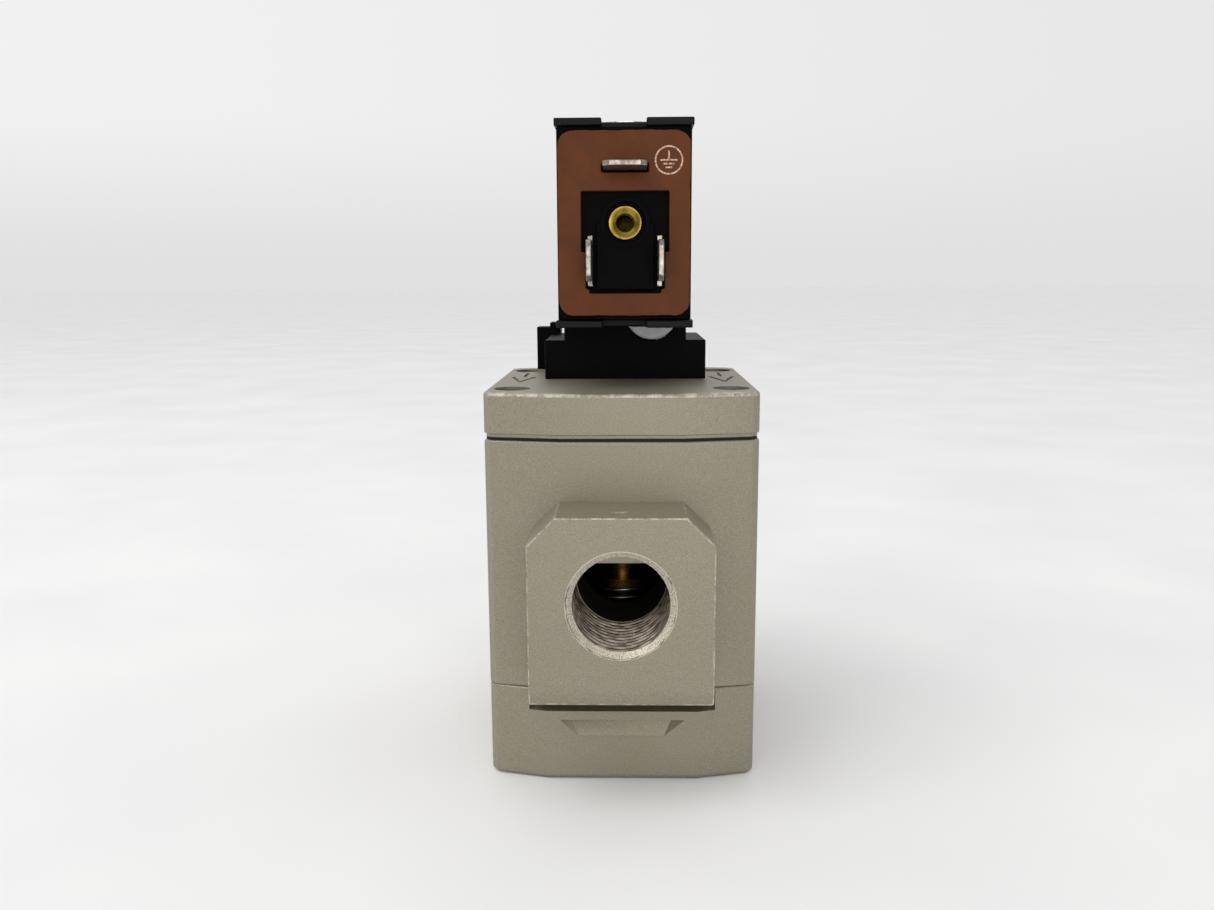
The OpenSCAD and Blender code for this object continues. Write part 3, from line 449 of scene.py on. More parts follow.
# ---------- port numbers ----------
# Raised port numbers from the die, one on top of each pad: 1 is the inlet and 2 the outlet. They lie on
# their side, because the die was engraved along the body.


DIGIT_H = 3.6 * MM
STANDS_OUT = 0.1 * MM
DRAFT = 0.06 * MM                       # rounding of the strokes' edges
BOLDER = 0.08 * MM


def port_number(text, height, matrix):
    """A raised digit: a filled outline with a small thickness, made a mesh, then put in place."""
    curve = bpy.data.curves.new("digit", "FONT")
    curve.body = text
    curve.size = height
    curve.extrude = STANDS_OUT
    curve.bevel_depth = DRAFT
    curve.offset = BOLDER
    curve.align_x = curve.align_y = "CENTER"
    outline = bpy.data.objects.new("digit", curve)
    bpy.context.scene.collection.objects.link(outline)
    bpy.context.view_layer.update()
    mesh = bpy.data.meshes.new_from_object(outline.evaluated_get(bpy.context.evaluated_depsgraph_get()))
    bpy.data.objects.remove(outline)
    mesh.transform(matrix)
    piece = bpy.data.objects.new("port_number_" + text, mesh)
    bpy.context.scene.collection.objects.link(piece)
    return piece


PAD_RISE = 13.6 * MM                    # the pad's top above the port's axis
pad_top = port_z + PAD_RISE
digit_y = body_high[1] - 3.4 * MM       # the digits' middle, measured in from the pads' faces
for text, y, turn in (("1", -digit_y, 90), ("2", digit_y, -90)):
    flat = Matrix.Rotation(math.radians(turn), 4, "Z")
    use(port_number(text, DIGIT_H, Matrix.Translation((0, y, pad_top)) @ flat), painted_highlight_enamel)

# ---------- top cap and its gasket ----------
# The lid over the piston, cast and painted like the body, with counterbores for its four screws and two
# engraved flow arrows. A thin black gasket shows as a dark line under it.

casting("top_casting", "top_cap", 0.22 * MM, 0.6 * MM, cap_high[2])


def moulded_rubber(name, colour, edge, roughness, grain):
    """Moulded rubber: dull, slightly mottled, with the fine grain of an eroded mould."""
    material, tree, place = new_material(name)
    mottle = add(tree, "TexNoise", {"Vector": place, "Scale": 1 / (3 * MM), "Detail": 3.0})
    tint = add(tree, "ValToRGB", {"Fac": mottle}, stops=((0.3, colour), (0.75, edge)))
    rough = add(tree, "MapRange", {"Value": mottle, "To Min": roughness - 0.08, "To Max": roughness + 0.1})
    surface = add(tree, "BsdfPrincipled", {"Base Color": tint, "Roughness": rough, "IOR": 1.5,
                                           "Specular IOR Level": 0.2})
    pits = add(tree, "TexNoise", {"Vector": place, "Scale": 1 / grain, "Detail": 2.0})
    finish_material(tree, surface, pits, 0.012 * MM)
    return material


def dress(names, material):
    """Gives CAD nodes a material in place of their plain one."""
    for name in names:
        mesh = frame["nodes"][name].data
        mesh.materials.clear()
        mesh.materials.append(material)


nitrile = moulded_rubber("black_nitrile_rubber", "#121212", "#1D1C1B", 0.55, 0.3 * MM)
dress(["cap_gasket", "bottom_o_ring", "poppet_seal", "poppet_o_ring", "guide_plate_o_ring", "rod_o_ring",
       "piston_seal", "rod_pad", "pilot_gasket", "override_o_ring", "core_tube_o_ring", "plunger_seal",
       "exhaust_seal"], nitrile)

# ---------- casting screws ----------
# M3 socket-head cap screws, four down through the lid, four up through the foot and two in the pilot
# base: alloy steel, knurled heads, black oxide worn grey in places.
SCREW_R = 1.5 * MM
HEAD_R = 2.75 * MM
HEAD_H = 3.0 * MM
SOCKET_R = 1.45 * MM                 # to the hexagon's corners
SOCKET_H = 1.5 * MM


def hexagon(corner_r, turn):
    """Distance from the axis to a hexagon's side at each angle: the flat's distance over its cosine."""
    return corner_r * math.cos(math.pi / 6) / np.cos((turn % (math.pi / 3)) - math.pi / 6)


def socket_screw(name, x, y, z_low, z_high, head_up):
    """From the shank's end up its side, out under the knurled head, over its bevel and down the socket."""
    turn = np.linspace(0, 2 * np.pi, 96, endpoint=False)[:, None]
    knurl = HEAD_R - 0.05 * MM * (0.5 + 0.5 * np.cos(32 * turn))
    round_r = np.ones_like(turn)
    length = z_high - z_low
    rows = [(round_r * (SCREW_R - 0.3 * MM), 0), (round_r * SCREW_R, 0.3 * MM),
            (round_r * SCREW_R, length - HEAD_H), (knurl, length - HEAD_H), (knurl, length - 0.35 * MM),
            (round_r * (HEAD_R - 0.12 * MM), length - 0.18 * MM), (round_r * (HEAD_R - 0.4 * MM), length),
            (hexagon(SOCKET_R, turn) + 0.12 * MM, length), (hexagon(SOCKET_R, turn), length - 0.1 * MM),
            (hexagon(SOCKET_R, turn), length - SOCKET_H)]
    radius = np.concatenate([row[0] for row in rows], 1)
    along = np.array([[row[1] for row in rows]])
    if head_up:
        return turned(name, radius, along, (x, y, z_low), "Z", ring=False)
    return turned(name, radius[:, ::-1], -along[:, ::-1], (x, y, z_high), "Z", ring=False)


def solid_boxes(node):
    """The boxes of a node's separate solids, one in each quarter round the node's middle."""
    mesh = frame["nodes"][node].data
    points = np.empty(len(mesh.vertices) * 3)
    mesh.vertices.foreach_get("co", points)
    points = points.reshape(-1, 3)
    middle = (points.max(0) + points.min(0)) / 2
    side = (points[:, 0] > middle[0]) * 2 + (points[:, 1] > middle[1])
    return [(points[side == k].min(0), points[side == k].max(0)) for k in np.unique(side)]


def blackened_steel():
    """Chemically blackened steel: dark and half bright, worn to grey in small patches."""
    material, tree, place = new_material("black_oxide_steel")
    wear_and_highlight_noise = add(tree, "TexNoise", {"Vector": place, "Scale": 1 / (0.8 * MM), "Detail": 3.0})
    tint = add(tree, "ValToRGB", {"Fac": wear_and_highlight_noise}, stops=((0.35, "#2A2A2C"), (0.75, "#4C4B4A")))
    surface = add(tree, "BsdfPrincipled", {"Base Color": tint, "Roughness": 0.38, "Metallic": 0.9})
    forged = add(tree, "TexNoise", {"Vector": place, "Scale": 1 / (0.12 * MM)})
    finish_material(tree, surface, forged, 0.004 * MM)
    return material


black_oxide = blackened_steel()
for node, head_up in (("cap_screws", True), ("bottom_screws", False), ("pilot_screws", True)):
    for number, (low, high) in enumerate(solid_boxes(node), 1):
        x, y = (low[:2] + high[:2]) / 2
        screw = socket_screw(f"{node[:-1]}_{number}", x, y, low[2], high[2], head_up)
        use(screw, black_oxide, stands_for=[node] if number == 1 else ())

# ---------- poppet and seat ----------
# Free-cutting brass, turned: the pressed-in seat ring and the hollow poppet, with the pilot nozzle and the
# rod's bush of a like bar further up.

turned_brass = turned_metal("turned_brass", "#8F7336", "#5E4A1E", 0.14 * MM, 0.24)
dress(["seat_ring", "poppet", "pilot_nozzle", "rod_bush"], turned_brass)

# ---------- springs ----------
# Three coil springs of drawn stainless wire. Each stands between its seat and the piece it pushes.


def coil_spring(name, node, mean_r, wire_r, turns):
    """A tube along an evenly rising helix of radius mean_r round the node's axis; its section is a circle."""
    low, high = node_box(node)
    centre = (low + high) / 2
    sides = 10
    steps = turns * 40 + 1
    turn = np.linspace(0, 2 * np.pi * turns, steps)[:, None]
    around = np.linspace(0, 2 * np.pi, sides, endpoint=False)[None, :]
    radius = mean_r + wire_r * np.cos(around)
    rise = np.linspace(low[2] + wire_r, high[2] - wire_r, steps)[:, None] + wire_r * np.sin(around)
    points = np.stack([centre[0] + radius * np.cos(turn), centre[1] + radius * np.sin(turn), rise], -1)
    i = np.arange(steps - 1)[:, None] * sides
    j = np.arange(sides)[None, :]
    next_j = (j + 1) % sides
    quads = np.stack([i + j, i + sides + j, i + sides + next_j, i + next_j], -1).reshape(-1, 4).tolist()
    last = (steps - 1) * sides
    quads += [list(range(sides)), list(range(last + sides - 1, last - 1, -1))]
    return shown_mesh(name, points.reshape(-1, 3), quads, crease=60)


spring_wire = turned_metal("drawn_spring_steel", "#8E8F90", "#5C5D5F", 0.3 * MM, 0.3)


def fit_spring(node, mean_r, wire_r, turns):
    """Makes a spring in the node's place, with the node hidden, and gives it a mesh of its own."""
    spring = coil_spring(node + "_wire", node, mean_r, wire_r, turns)
    use(spring, spring_wire, stands_for=[node])
    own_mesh(spring)


fit_spring("poppet_spring", 6.6 * MM, 0.4 * MM, 5)
fit_spring("piston_spring", 9.0 * MM, 0.4 * MM, 4)
fit_spring("plunger_spring", 2.02 * MM, 0.25 * MM, 9)

# ---------- piston drive ----------
# Turned light-alloy piston and guide plate, and a ground stainless rod. They stay as the frame has them.

turned_alloy = turned_metal("turned_aluminium", "#CBCCCD", "#A3A4A6", 0.18 * MM, 0.3)
ground_steel = turned_metal("ground_stainless_steel", "#C4C5C8", "#9A9B9F", 0.1 * MM, 0.18)
dress(["guide_plate", "piston"], turned_alloy)
dress(["piston_rod", "core_tube", "fixed_core", "plunger"], ground_steel)

# ---------- pilot base ----------
# The pilot's foot: black glass-filled nylon, injection moulded in one piece with its upper step and the
# lug at the back on the left. Mould-sharp edges, a fine sparked texture and a faint bloom in patches.


def glass_filled_nylon(name, colour, bloom, roughness):
    """Near-black moulding: faint grey glass bloom in soft patches, and a fine eroded grain."""
    material, tree, place = new_material(name)
    patches = add(tree, "TexNoise", {"Vector": place, "Scale": 1 / (2.2 * MM), "Detail": 4.0,
                                     "Roughness": 0.6})
    tint = add(tree, "ValToRGB", {"Fac": patches}, stops=((0.35, colour), (0.8, bloom)))
    rough = add(tree, "MapRange", {"Value": patches, "To Min": roughness - 0.08, "To Max": roughness + 0.08})
    surface = add(tree, "BsdfPrincipled", {"Base Color": tint, "Roughness": rough, "IOR": 1.53,
                                           "Specular IOR Level": 0.03})
    pits = add(tree, "TexNoise", {"Vector": place, "Scale": 1 / (0.22 * MM), "Detail": 2.0})
    finish_material(tree, surface, pits, 0.009 * MM)
    return material


def outer_edges(piece, radius, shortest):
    """Rounds each standing-out edge longer than shortest, and so leaves the short chords of bores alone."""
    mesh = piece.data
    _, bend, stands_out = edge_facts(mesh)
    ends = np.empty(len(mesh.edges) * 2, int)
    mesh.edges.foreach_get("vertices", ends)
    points = np.empty(len(mesh.vertices) * 3)
    mesh.vertices.foreach_get("co", points)
    span = points.reshape(-1, 3)[ends.reshape(-1, 2)]
    length = np.linalg.norm(span[:, 1] - span[:, 0], axis=1)
    share = np.where(stands_out & (bend > 30) & (length > shortest), 1.0, 0.0)
    round_edges(piece, radius, share)


black_nylon = glass_filled_nylon("black_glass_filled_nylon", "#050505", "#0D0D0D", 0.46)
pilot_foot = merged_copy("pilot_foot", "pilot_base")
outer_edges(pilot_foot, 0.16 * MM, 1.2 * MM)
use(pilot_foot, black_nylon, stands_for=["pilot_base"])

# ---------- manual override ----------
# A push button moulded in grey acetal, with a half-round face. It slides in a slot of the pilot base, under
# the coil's front plate.


def grey_acetal():
    """Moulded acetal: smooth, faintly clouded, with a soft waxy gloss."""
    material, tree, place = new_material("light_grey_acetal")
    cloud = add(tree, "TexNoise", {"Vector": place, "Scale": 1 / (1.5 * MM), "Detail": 2.0})
    tint = add(tree, "ValToRGB", {"Fac": cloud}, stops=((0.3, "#B2B5B7"), (0.7, "#C4C7C8")))
    surface = add(tree, "BsdfPrincipled", {"Base Color": tint, "Roughness": 0.32, "IOR": 1.48,
                                           "Specular IOR Level": 0.35})
    pits = add(tree, "TexNoise", {"Vector": place, "Scale": 1 / (0.25 * MM)})
    finish_material(tree, surface, pits, 0.003 * MM)
    return material


override = merged_copy("override_push_button", "override_button")
outer_edges(override, 0.45 * MM, 0.15 * MM)
use(override, grey_acetal(), body="override", stands_for=["override_button"])

# ---------- coil ----------
# Enamelled copper on a natural nylon bobbin, moulded into a black nylon block. The connector face is the
# block's front: a raised column and a boss round the brass screw insert.


def enamelled_copper():
    """Wound wire: bands one wire high round the coil, each with its own highlight."""
    material, tree, place = new_material("enamelled_copper_wire")
    up = add(tree, "SeparateXYZ", {0: place}).outputs["Z"]
    phase = add(tree, "Math", {0: up, 1: 2 * math.pi / (0.25 * MM)}, operation="MULTIPLY")
    band = add(tree, "Math", {0: phase}, operation="SINE")
    wire = add(tree, "MapRange", {"Value": band, "From Min": -1.0, "From Max": 1.0})
    tint = add(tree, "ValToRGB", {"Fac": wire}, stops=((0.2, "#6B2F16"), (0.8, "#B5643A")))
    surface = add(tree, "BsdfPrincipled", {"Base Color": tint, "Roughness": 0.28, "Metallic": 0.85})
    finish_material(tree, surface, wire, 0.05 * MM)
    return material


dress(["winding"], enamelled_copper())
dress(["bobbin"], glass_filled_nylon("natural_nylon", "#CFC6A4", "#DDD6BC", 0.45))
coil_block = merged_copy("coil_block", "coil_housing")
outer_edges(coil_block, 0.2 * MM, 0.6 * MM)
use(coil_block, glass_filled_nylon("black_coil_moulding", "#050506", "#0B0B0D", 0.5),
    stands_for=["coil_housing"])

# ---------- yoke and coil nut ----------
# A folded steel strip, black cathodic paint over punched edges: two plates and a back, with a notch
# between two lips in front. A zinc-plated nut on the tube's stud clamps it down.


def black_steel_paint():
    """Dip paint: black, even and half glossy, with a faint orange-peel skin."""
    material, tree, place = new_material("black_painted_steel")
    patches = add(tree, "TexNoise", {"Vector": place, "Scale": 1 / (2.5 * MM), "Detail": 4.0,
                                     "Roughness": 0.6})
    tint = add(tree, "ValToRGB", {"Fac": patches}, stops=((0.3, "#080909"), (0.75, "#111212")))
    rough = add(tree, "MapRange", {"Value": patches, "To Min": 0.32, "To Max": 0.48})
    surface = add(tree, "BsdfPrincipled", {"Base Color": tint, "Roughness": rough, "IOR": 1.5,
                                           "Specular IOR Level": 0.12})
    peel = add(tree, "TexNoise", {"Vector": place, "Scale": 1 / (0.35 * MM), "Detail": 2.0})
    finish_material(tree, surface, peel, 0.01 * MM)
    return material


yoke_frame = merged_copy("yoke_frame", "yoke")
outer_edges(yoke_frame, 0.22 * MM, 0.5 * MM)
use(yoke_frame, black_steel_paint(), stands_for=["yoke"])

nut_low, nut_high = node_box("coil_nut")
STUD_R = 3.0 * MM


def hex_nut(name, centre, corner_r, height, bore_r):
    """A hexagon with its top corners turned off: the radius is the lesser of hexagon and 30 degree cone."""
    turn = np.linspace(0, 2 * np.pi, 120, endpoint=False)[:, None]
    flat = hexagon(corner_r, turn)
    levels = np.linspace(0, height, 13)[None, :]
    cone = corner_r * 0.9 + (height - levels) / math.tan(math.radians(30))
    outside = np.minimum(flat, cone)
    bore = np.full((120, 2), bore_r)
    radius = np.concatenate([outside, np.full((120, 1), bore_r + 0.3 * MM), bore], 1)
    along = np.concatenate([levels, [[height, height - 0.3 * MM, 0]]], 1)
    return turned(name, radius, along, centre)


zinc = turned_metal("zinc_plated_steel", "#C3C5C4", "#8F9292", 0.25 * MM, 0.32)
centre = (nut_low + nut_high) / 2
clamp_nut = hex_nut("clamp_nut", (centre[0], centre[1], nut_low[2]), (nut_high[0] - nut_low[0]) / 2,
                    nut_high[2] - nut_low[2], STUD_R + 0.02 * MM)
use(clamp_nut, zinc, stands_for=["coil_nut"])

# ---------- connector gasket ----------
# A brown rubber profile gasket over the connector face: rounded outer edge with a little mould flash, a
# stepped window round the contacts and a printed earth mark in its corner.
gasket_low, gasket_high = node_box("connector_gasket")
blades_low, blades_high = node_box("line_blades")
earth_low, earth_high = node_box("earth_blade")
insert_low, insert_high = node_box("connector_insert")
face_y = gasket_high[1]
contact_x = (earth_low[0] + earth_high[0]) / 2


def rounded_outline(low, high, corner, per_corner=12, along_side=40):
    """A rectangle with quarter-circle corners, counter-clockwise, with evenly spaced points on its sides."""
    centres = [(high[0] - corner, low[1] + corner), (high[0] - corner, high[1] - corner),
               (low[0] + corner, high[1] - corner), (low[0] + corner, low[1] + corner)]
    arcs = []
    for number, (x, z) in enumerate(centres):
        turn = np.linspace(-np.pi / 2, 0, per_corner) + number * np.pi / 2
        arcs.append(np.stack([x + corner * np.cos(turn), z + corner * np.sin(turn)], -1))
    run = []
    for number, arc in enumerate(arcs):
        share = np.linspace(0, 1, along_side + 2)[1:-1, None]
        run += [arc, arc[-1] * (1 - share) + arcs[(number + 1) % 4][0] * share]
    return np.concatenate(run)


def stepped_outline(points, corner, per_corner=5):
    """A polygon whose corners are swapped for short arcs: a quadratic curve from side to side."""
    points = np.asarray(points)
    before = np.roll(points, 1, 0) - points
    after = np.roll(points, -1, 0) - points
    start = points + before / np.linalg.norm(before, axis=1)[:, None] * corner
    stop = points + after / np.linalg.norm(after, axis=1)[:, None] * corner
    share = np.linspace(0, 1, per_corner)[None, :, None]
    curve = (1 - share) ** 2 * start[:, None]
    curve = curve + 2 * share * (1 - share) * points[:, None]
    curve = curve + share ** 2 * stop[:, None]
    return curve.reshape(-1, 2)


def outward(outline):
    """Unit normals to the right of a closed outline, across each point's two neighbours."""
    along = np.roll(outline, -1, 0) - np.roll(outline, 1, 0)
    along /= np.linalg.norm(along, axis=1)[:, None]
    return np.stack([along[:, 1], -along[:, 0]], -1)


def inside(points, outline):
    """Even-odd rule: a point is inside if a ray to its right crosses the outline an odd number of times."""
    a, b = outline, np.roll(outline, -1, 0)
    x, z = points[:, 0, None], points[:, 1, None]
    spans = (a[:, 1] > z) != (b[:, 1] > z)
    rise = np.where(b[:, 1] == a[:, 1], 1e-12, b[:, 1] - a[:, 1])
    cross = a[:, 0] + (z - a[:, 1]) / rise * (b[:, 0] - a[:, 0])
    return (spans & (x < cross)).sum(1) % 2 == 1


def moulded_sheet(name, outlines, back_y, front_y, edge):
    """A flat sheet between outlines in X and Z: outer one first, counter-clockwise, then the holes clockwise.

    Each outline is carried from the back over a quarter-round front edge; both faces are then filled by a
    constrained triangulation that keeps what is inside the first outline and outside the others."""
    turn = np.linspace(0, np.pi / 2, 5)
    inset = np.concatenate([[0], edge * (1 - np.cos(turn))])
    height = np.concatenate([[back_y], front_y + edge * (1 - np.sin(turn))])
    rows = len(inset)
    points, faces, first = [], [], 0
    rims = {0: [], rows - 1: []}
    for outline in outlines:
        count = len(outline)
        ring = outline[:, None] - outward(outline)[:, None] * inset[None, :, None]
        depth = np.broadcast_to(height, (count, rows))
        points.append(np.stack([ring[..., 0], depth, ring[..., 1]], -1).reshape(-1, 3))
        band = np.asarray(revolve_faces(count, rows, False))
        faces += (band + first).tolist()
        for row in rims:
            rims[row].append(first + np.arange(count) * rows + row)
        first += count * rows
    points = np.concatenate(points)
    for row, loops in rims.items():
        flat = points[np.concatenate(loops)][:, [0, 2]]
        numbers = np.concatenate(loops)
        edges, start = [], 0
        for loop in loops:
            step = np.arange(len(loop))
            edges += np.stack([start + step, start + (step + 1) % len(loop)], -1).tolist()
            start += len(loop)
        filled = geometry.delaunay_2d_cdt([Vector(spot) for spot in flat], edges, [], 0, 1e-9)
        spots = np.array([tuple(spot) for spot in filled[0]])
        triangles = np.array(filled[2])
        origin = np.array([group[0] for group in filled[3]])
        centre = spots[triangles].mean(1)
        keep = inside(centre, flat[:len(loops[0])])
        start = len(loops[0])
        for loop in loops[1:]:
            keep &= ~inside(centre, flat[start:start + len(loop)])
            start += len(loop)
        chosen = numbers[origin[triangles[keep]]]
        corner = points[chosen]
        normal_y = np.cross(corner[:, 1] - corner[:, 0], corner[:, 2] - corner[:, 0])[:, 1]
        wrong = (normal_y > 0) == (row > 0)
        chosen[wrong] = chosen[wrong][:, ::-1]
        faces += chosen.tolist()
    return shown_mesh(name, points, faces)


low, high = gasket_low[[0, 2]], gasket_high[[0, 2]]
FLASH_ROOM = 0.08 * MM                  # keeps the flash inside the gasket's own box
GASKET_CORNER = 2.3 * MM
rim = rounded_outline(low + FLASH_ROOM, high - FLASH_ROOM, GASKET_CORNER)
walk = np.linspace(0, 2 * np.pi, len(rim), endpoint=False)
flash = 0.03 * np.sin(9 * walk) + 0.025 * np.sin(23 * walk + 1) + 0.02 * np.sin(57 * walk + 2)
rim = rim + outward(rim) * (flash[:, None] * MM)

# The window is set out from the insert's axis: wide above, narrower at the foot, with a notch for each blade.
INSERT_R = 2.73 * MM
BLADE_HALF = 0.4 * MM                   # half a blade's thickness
BLADE_ROOM = 0.35 * MM                  # clear of each blade all round
screw_z = insert_low[2] + INSERT_R
window_half, foot_half = 6.9 * MM, 5.7 * MM
window_top = screw_z + 4.85 * MM
window_step = screw_z - 4.5 * MM
window_foot = screw_z - 10.95 * MM
slot_half = BLADE_HALF + BLADE_ROOM
slot_x = (blades_high[0] - blades_low[0]) / 2 - BLADE_HALF
slot_foot = blades_low[2] - BLADE_ROOM
right_side = [(foot_half, window_foot), (foot_half, slot_foot), (slot_x + slot_half, slot_foot),
              (slot_x + slot_half, window_step), (window_half, window_step), (window_half, window_top)]
window = [(contact_x + x, z) for x, z in right_side] + [(contact_x - x, z) for x, z in right_side[::-1]]
window = stepped_outline(window, 0.27 * MM)[::-1]
earth_slot = rounded_outline((earth_low[0] - BLADE_ROOM, earth_low[2] - BLADE_ROOM),
                             (earth_high[0] + BLADE_ROOM, earth_high[2] + BLADE_ROOM), 0.3 * MM, 4, 6)[::-1]
gasket = moulded_sheet("profile_gasket", [rim, window, earth_slot], face_y, gasket_low[1], 0.15 * MM)
brown_rubber = moulded_rubber("brown_silicone_rubber", "#55290B", "#63320F", 0.5, 0.4 * MM)
use(gasket, brown_rubber, stands_for=["connector_gasket"])


def flat_ring(centre, radius, width, front_y, thickness):
    """A thin printed ring: a square section carried round a circle."""
    turn = np.linspace(0, 2 * np.pi, 64, endpoint=False)[:, None]
    across = np.array([[0.5, -0.5, -0.5, 0.5]]) * width
    painted_shade_inside = np.array([[0, 0, 1, 1]]) * thickness
    reach = radius + across
    points = np.stack([centre[0] + reach * np.cos(turn), front_y + painted_shade_inside + 0 * turn,
                       centre[1] + reach * np.sin(turn)], -1).reshape(-1, 3)
    return points, revolve_faces(64, 4, True)


def flat_bar(x, z, width, height, front_y, thickness):
    """A thin printed bar: the eight corners of its box."""
    sign = np.array([[i, j, k] for i in (-1, 1) for j in (0, 1) for k in (-1, 1)])
    points = sign * [width / 2, thickness, height / 2] + [x, front_y, z]
    faces = [[0, 1, 3, 2], [4, 6, 7, 5], [0, 4, 5, 1], [2, 3, 7, 6], [0, 2, 6, 4], [1, 5, 7, 3]]
    return points, faces


def joined(name, parts):
    """One object from several sets of points and faces."""
    points, faces, first = [], [], 0
    for part_points, part_faces in parts:
        points.append(part_points)
        faces += (np.asarray(part_faces) + first).tolist()
        first += len(part_points)
    return shown_mesh(name, np.concatenate(points), faces)


def pale_ink():
    """Pad-printed ink, worn thin: the rubber's brown shows through in specks."""
    material, tree, place = new_material("pale_pad_printed_ink")
    specks = add(tree, "TexNoise", {"Vector": place, "Scale": 1 / (0.3 * MM), "Detail": 2.0})
    wear_and_highlight = add(tree, "ValToRGB", {"Fac": specks}, stops=((0.36, "#7E5138"), (0.56, "#D8B9A8")))
    surface = add(tree, "BsdfPrincipled", {"Base Color": wear_and_highlight, "Roughness": 0.6})
    finish_material(tree, surface, specks, 0.004 * MM)
    return material


PRINT = 0.02 * MM                       # thickness of the ink, half of it in the rubber
STROKE = 0.24 * MM
mark = (gasket_high[0] - 3.45 * MM, earth_low[2] + 1.45 * MM)
print_y = gasket_low[1] - PRINT / 2
earth_parts = [flat_ring(mark, 2.08 * MM, STROKE, print_y, PRINT),
               flat_bar(mark[0], mark[1] + 0.75 * MM, STROKE, 1.3 * MM, print_y, PRINT)]
for drop, width in ((0, 2.6), (0.55, 1.7), (1.1, 1.0)):
    earth_parts.append(flat_bar(mark[0], mark[1] - drop * MM, width * MM, STROKE, print_y, PRINT))
use(joined("earth_mark", earth_parts), pale_ink())

# ---------- contact blades ----------
# Three blades stamped from brass strip and tinned: two upright for the coil, a level one for earth. Their
# edges are rounded over by the punch and the tin.


def tin_plate():
    """Matt tin over brass: stained dark in patches, its gloss broken by the scuffs of plugs."""
    material, tree, place = new_material("tin_plated_brass")
    stain = add(tree, "TexNoise", {"Vector": place, "Scale": 1 / (1.1 * MM), "Detail": 4.0,
                                   "Roughness": 0.65})
    tint = add(tree, "ValToRGB", {"Fac": stain}, stops=((0.35, "#6F6B63"), (0.7, "#B9B5AB")))
    scuffs = add(tree, "TexNoise", {"Vector": place, "Scale": 1 / (0.4 * MM), "Detail": 3.0})
    rough = add(tree, "MapRange", {"Value": scuffs, "To Min": 0.22, "To Max": 0.42})
    surface = add(tree, "BsdfPrincipled", {"Base Color": tint, "Roughness": rough, "Metallic": 1.0})
    finish_material(tree, surface, scuffs, 0.008 * MM)
    return material


tinned = tin_plate()
for name, node in (("line_contacts", "line_blades"), ("earth_contact", "earth_blade")):
    blade = merged_copy(name, node)
    outer_edges(blade, 0.14 * MM, 0.1 * MM)
    use(blade, tinned, stands_for=[node])

# ---------- connector screw insert ----------
# A brass M3 insert moulded into the boss: a faced rim, a wide countersink and a thread down its bore.
M3_PITCH = 0.5 * MM
M3_MINOR = 1.25 * MM                    # radius of the core hole
THREAD_FROM = 0.6 * MM                  # the thread begins behind the countersink
FLOOR_DEPTH = 1 * MM                    # the bore's floor, measured from the insert's back


def insert_rim(name, low, high, bore_r):
    """The insert's body: a ring whose section goes round its chamfered rim, its outside and its bore."""
    outer_r = (high[0] - low[0]) / 2
    depth = high[1] - low[1]
    rows = [(outer_r - 0.25 * MM, depth), (outer_r, depth - 0.25 * MM), (outer_r, 0.18 * MM),
            (outer_r - 0.18 * MM, 0), (bore_r + 0.95 * MM, 0), (bore_r + 0.22 * MM, 0.3 * MM),
            (bore_r + 0.12 * MM, 0.5 * MM), (bore_r + 0.12 * MM, depth)]
    radius, along = np.array([[row[0] for row in rows]]), np.array([[row[1] for row in rows]])
    centre = ((low[0] + high[0]) / 2, low[1], (low[2] + high[2]) / 2)
    return turned(name, radius[:, ::-1] * np.ones((96, 1)), along[:, ::-1], centre, "Y")


def insert_thread(name, low, high, bore_r):
    """The tapped bore: bore_r plus a wave of distance inward / pitch minus the turn, down to a flat floor."""
    depth = high[1] - low[1]
    turn = np.linspace(0, 1, 72, endpoint=False)[:, None]
    inward = np.linspace(THREAD_FROM, depth - FLOOR_DEPTH, 96)[None, :]
    bore = bore_r + (whitworth(inward / M3_PITCH - turn) - 0.5) * 0.12 * MM
    ones = np.ones_like(turn)
    outside = ones * (bore_r + 0.11 * MM)
    radius = np.concatenate([outside, outside, bore, ones * 0.1 * MM], 1)
    along = np.concatenate([[[depth - 0.1 * MM, THREAD_FROM]], inward, [[depth - FLOOR_DEPTH]]], 1)
    centre = ((low[0] + high[0]) / 2, low[1], (low[2] + high[2]) / 2)
    return turned(name, radius[:, ::-1], along[:, ::-1], centre, "Y", ring=False)


insert = insert_rim("brass_screw_insert", insert_low, insert_high, M3_MINOR)
use(insert, turned_metal("turned_free_cutting_brass", "#96803A", "#6A5620", 0.12 * MM, 0.26),
    stands_for=["connector_insert"])
tapped = insert_thread("insert_thread", insert_low, insert_high, M3_MINOR)
# The tapped bore is coloured near black: painted shade for the dark hole.
use(tapped, turned_metal("tapped_brass_painted_shade", "#3A2F14", "#1C160A", 0.12 * MM, 0.4))

# ---------- stage ----------
# A seamless sheet of white paper under the valve, a large soft light above on the left, a weaker one low
# in front, and a pale room all round.


def white_paper():
    """Cartridge paper: matt, nearly even white, with a fine tooth."""
    material, tree, place = new_material("white_cartridge_paper")
    cloud = add(tree, "TexNoise", {"Vector": place, "Scale": 1 / (60 * MM), "Detail": 2.0})
    tint = add(tree, "ValToRGB", {"Fac": cloud}, stops=((0.3, "#ECECED"), (0.7, "#F2F2F2")))
    surface = add(tree, "BsdfPrincipled", {"Base Color": tint, "Roughness": 0.85})
    tooth = add(tree, "TexNoise", {"Vector": place, "Scale": 1 / (0.5 * MM), "Detail": 2.0})
    finish_material(tree, surface, tooth, 0.01 * MM)
    return material


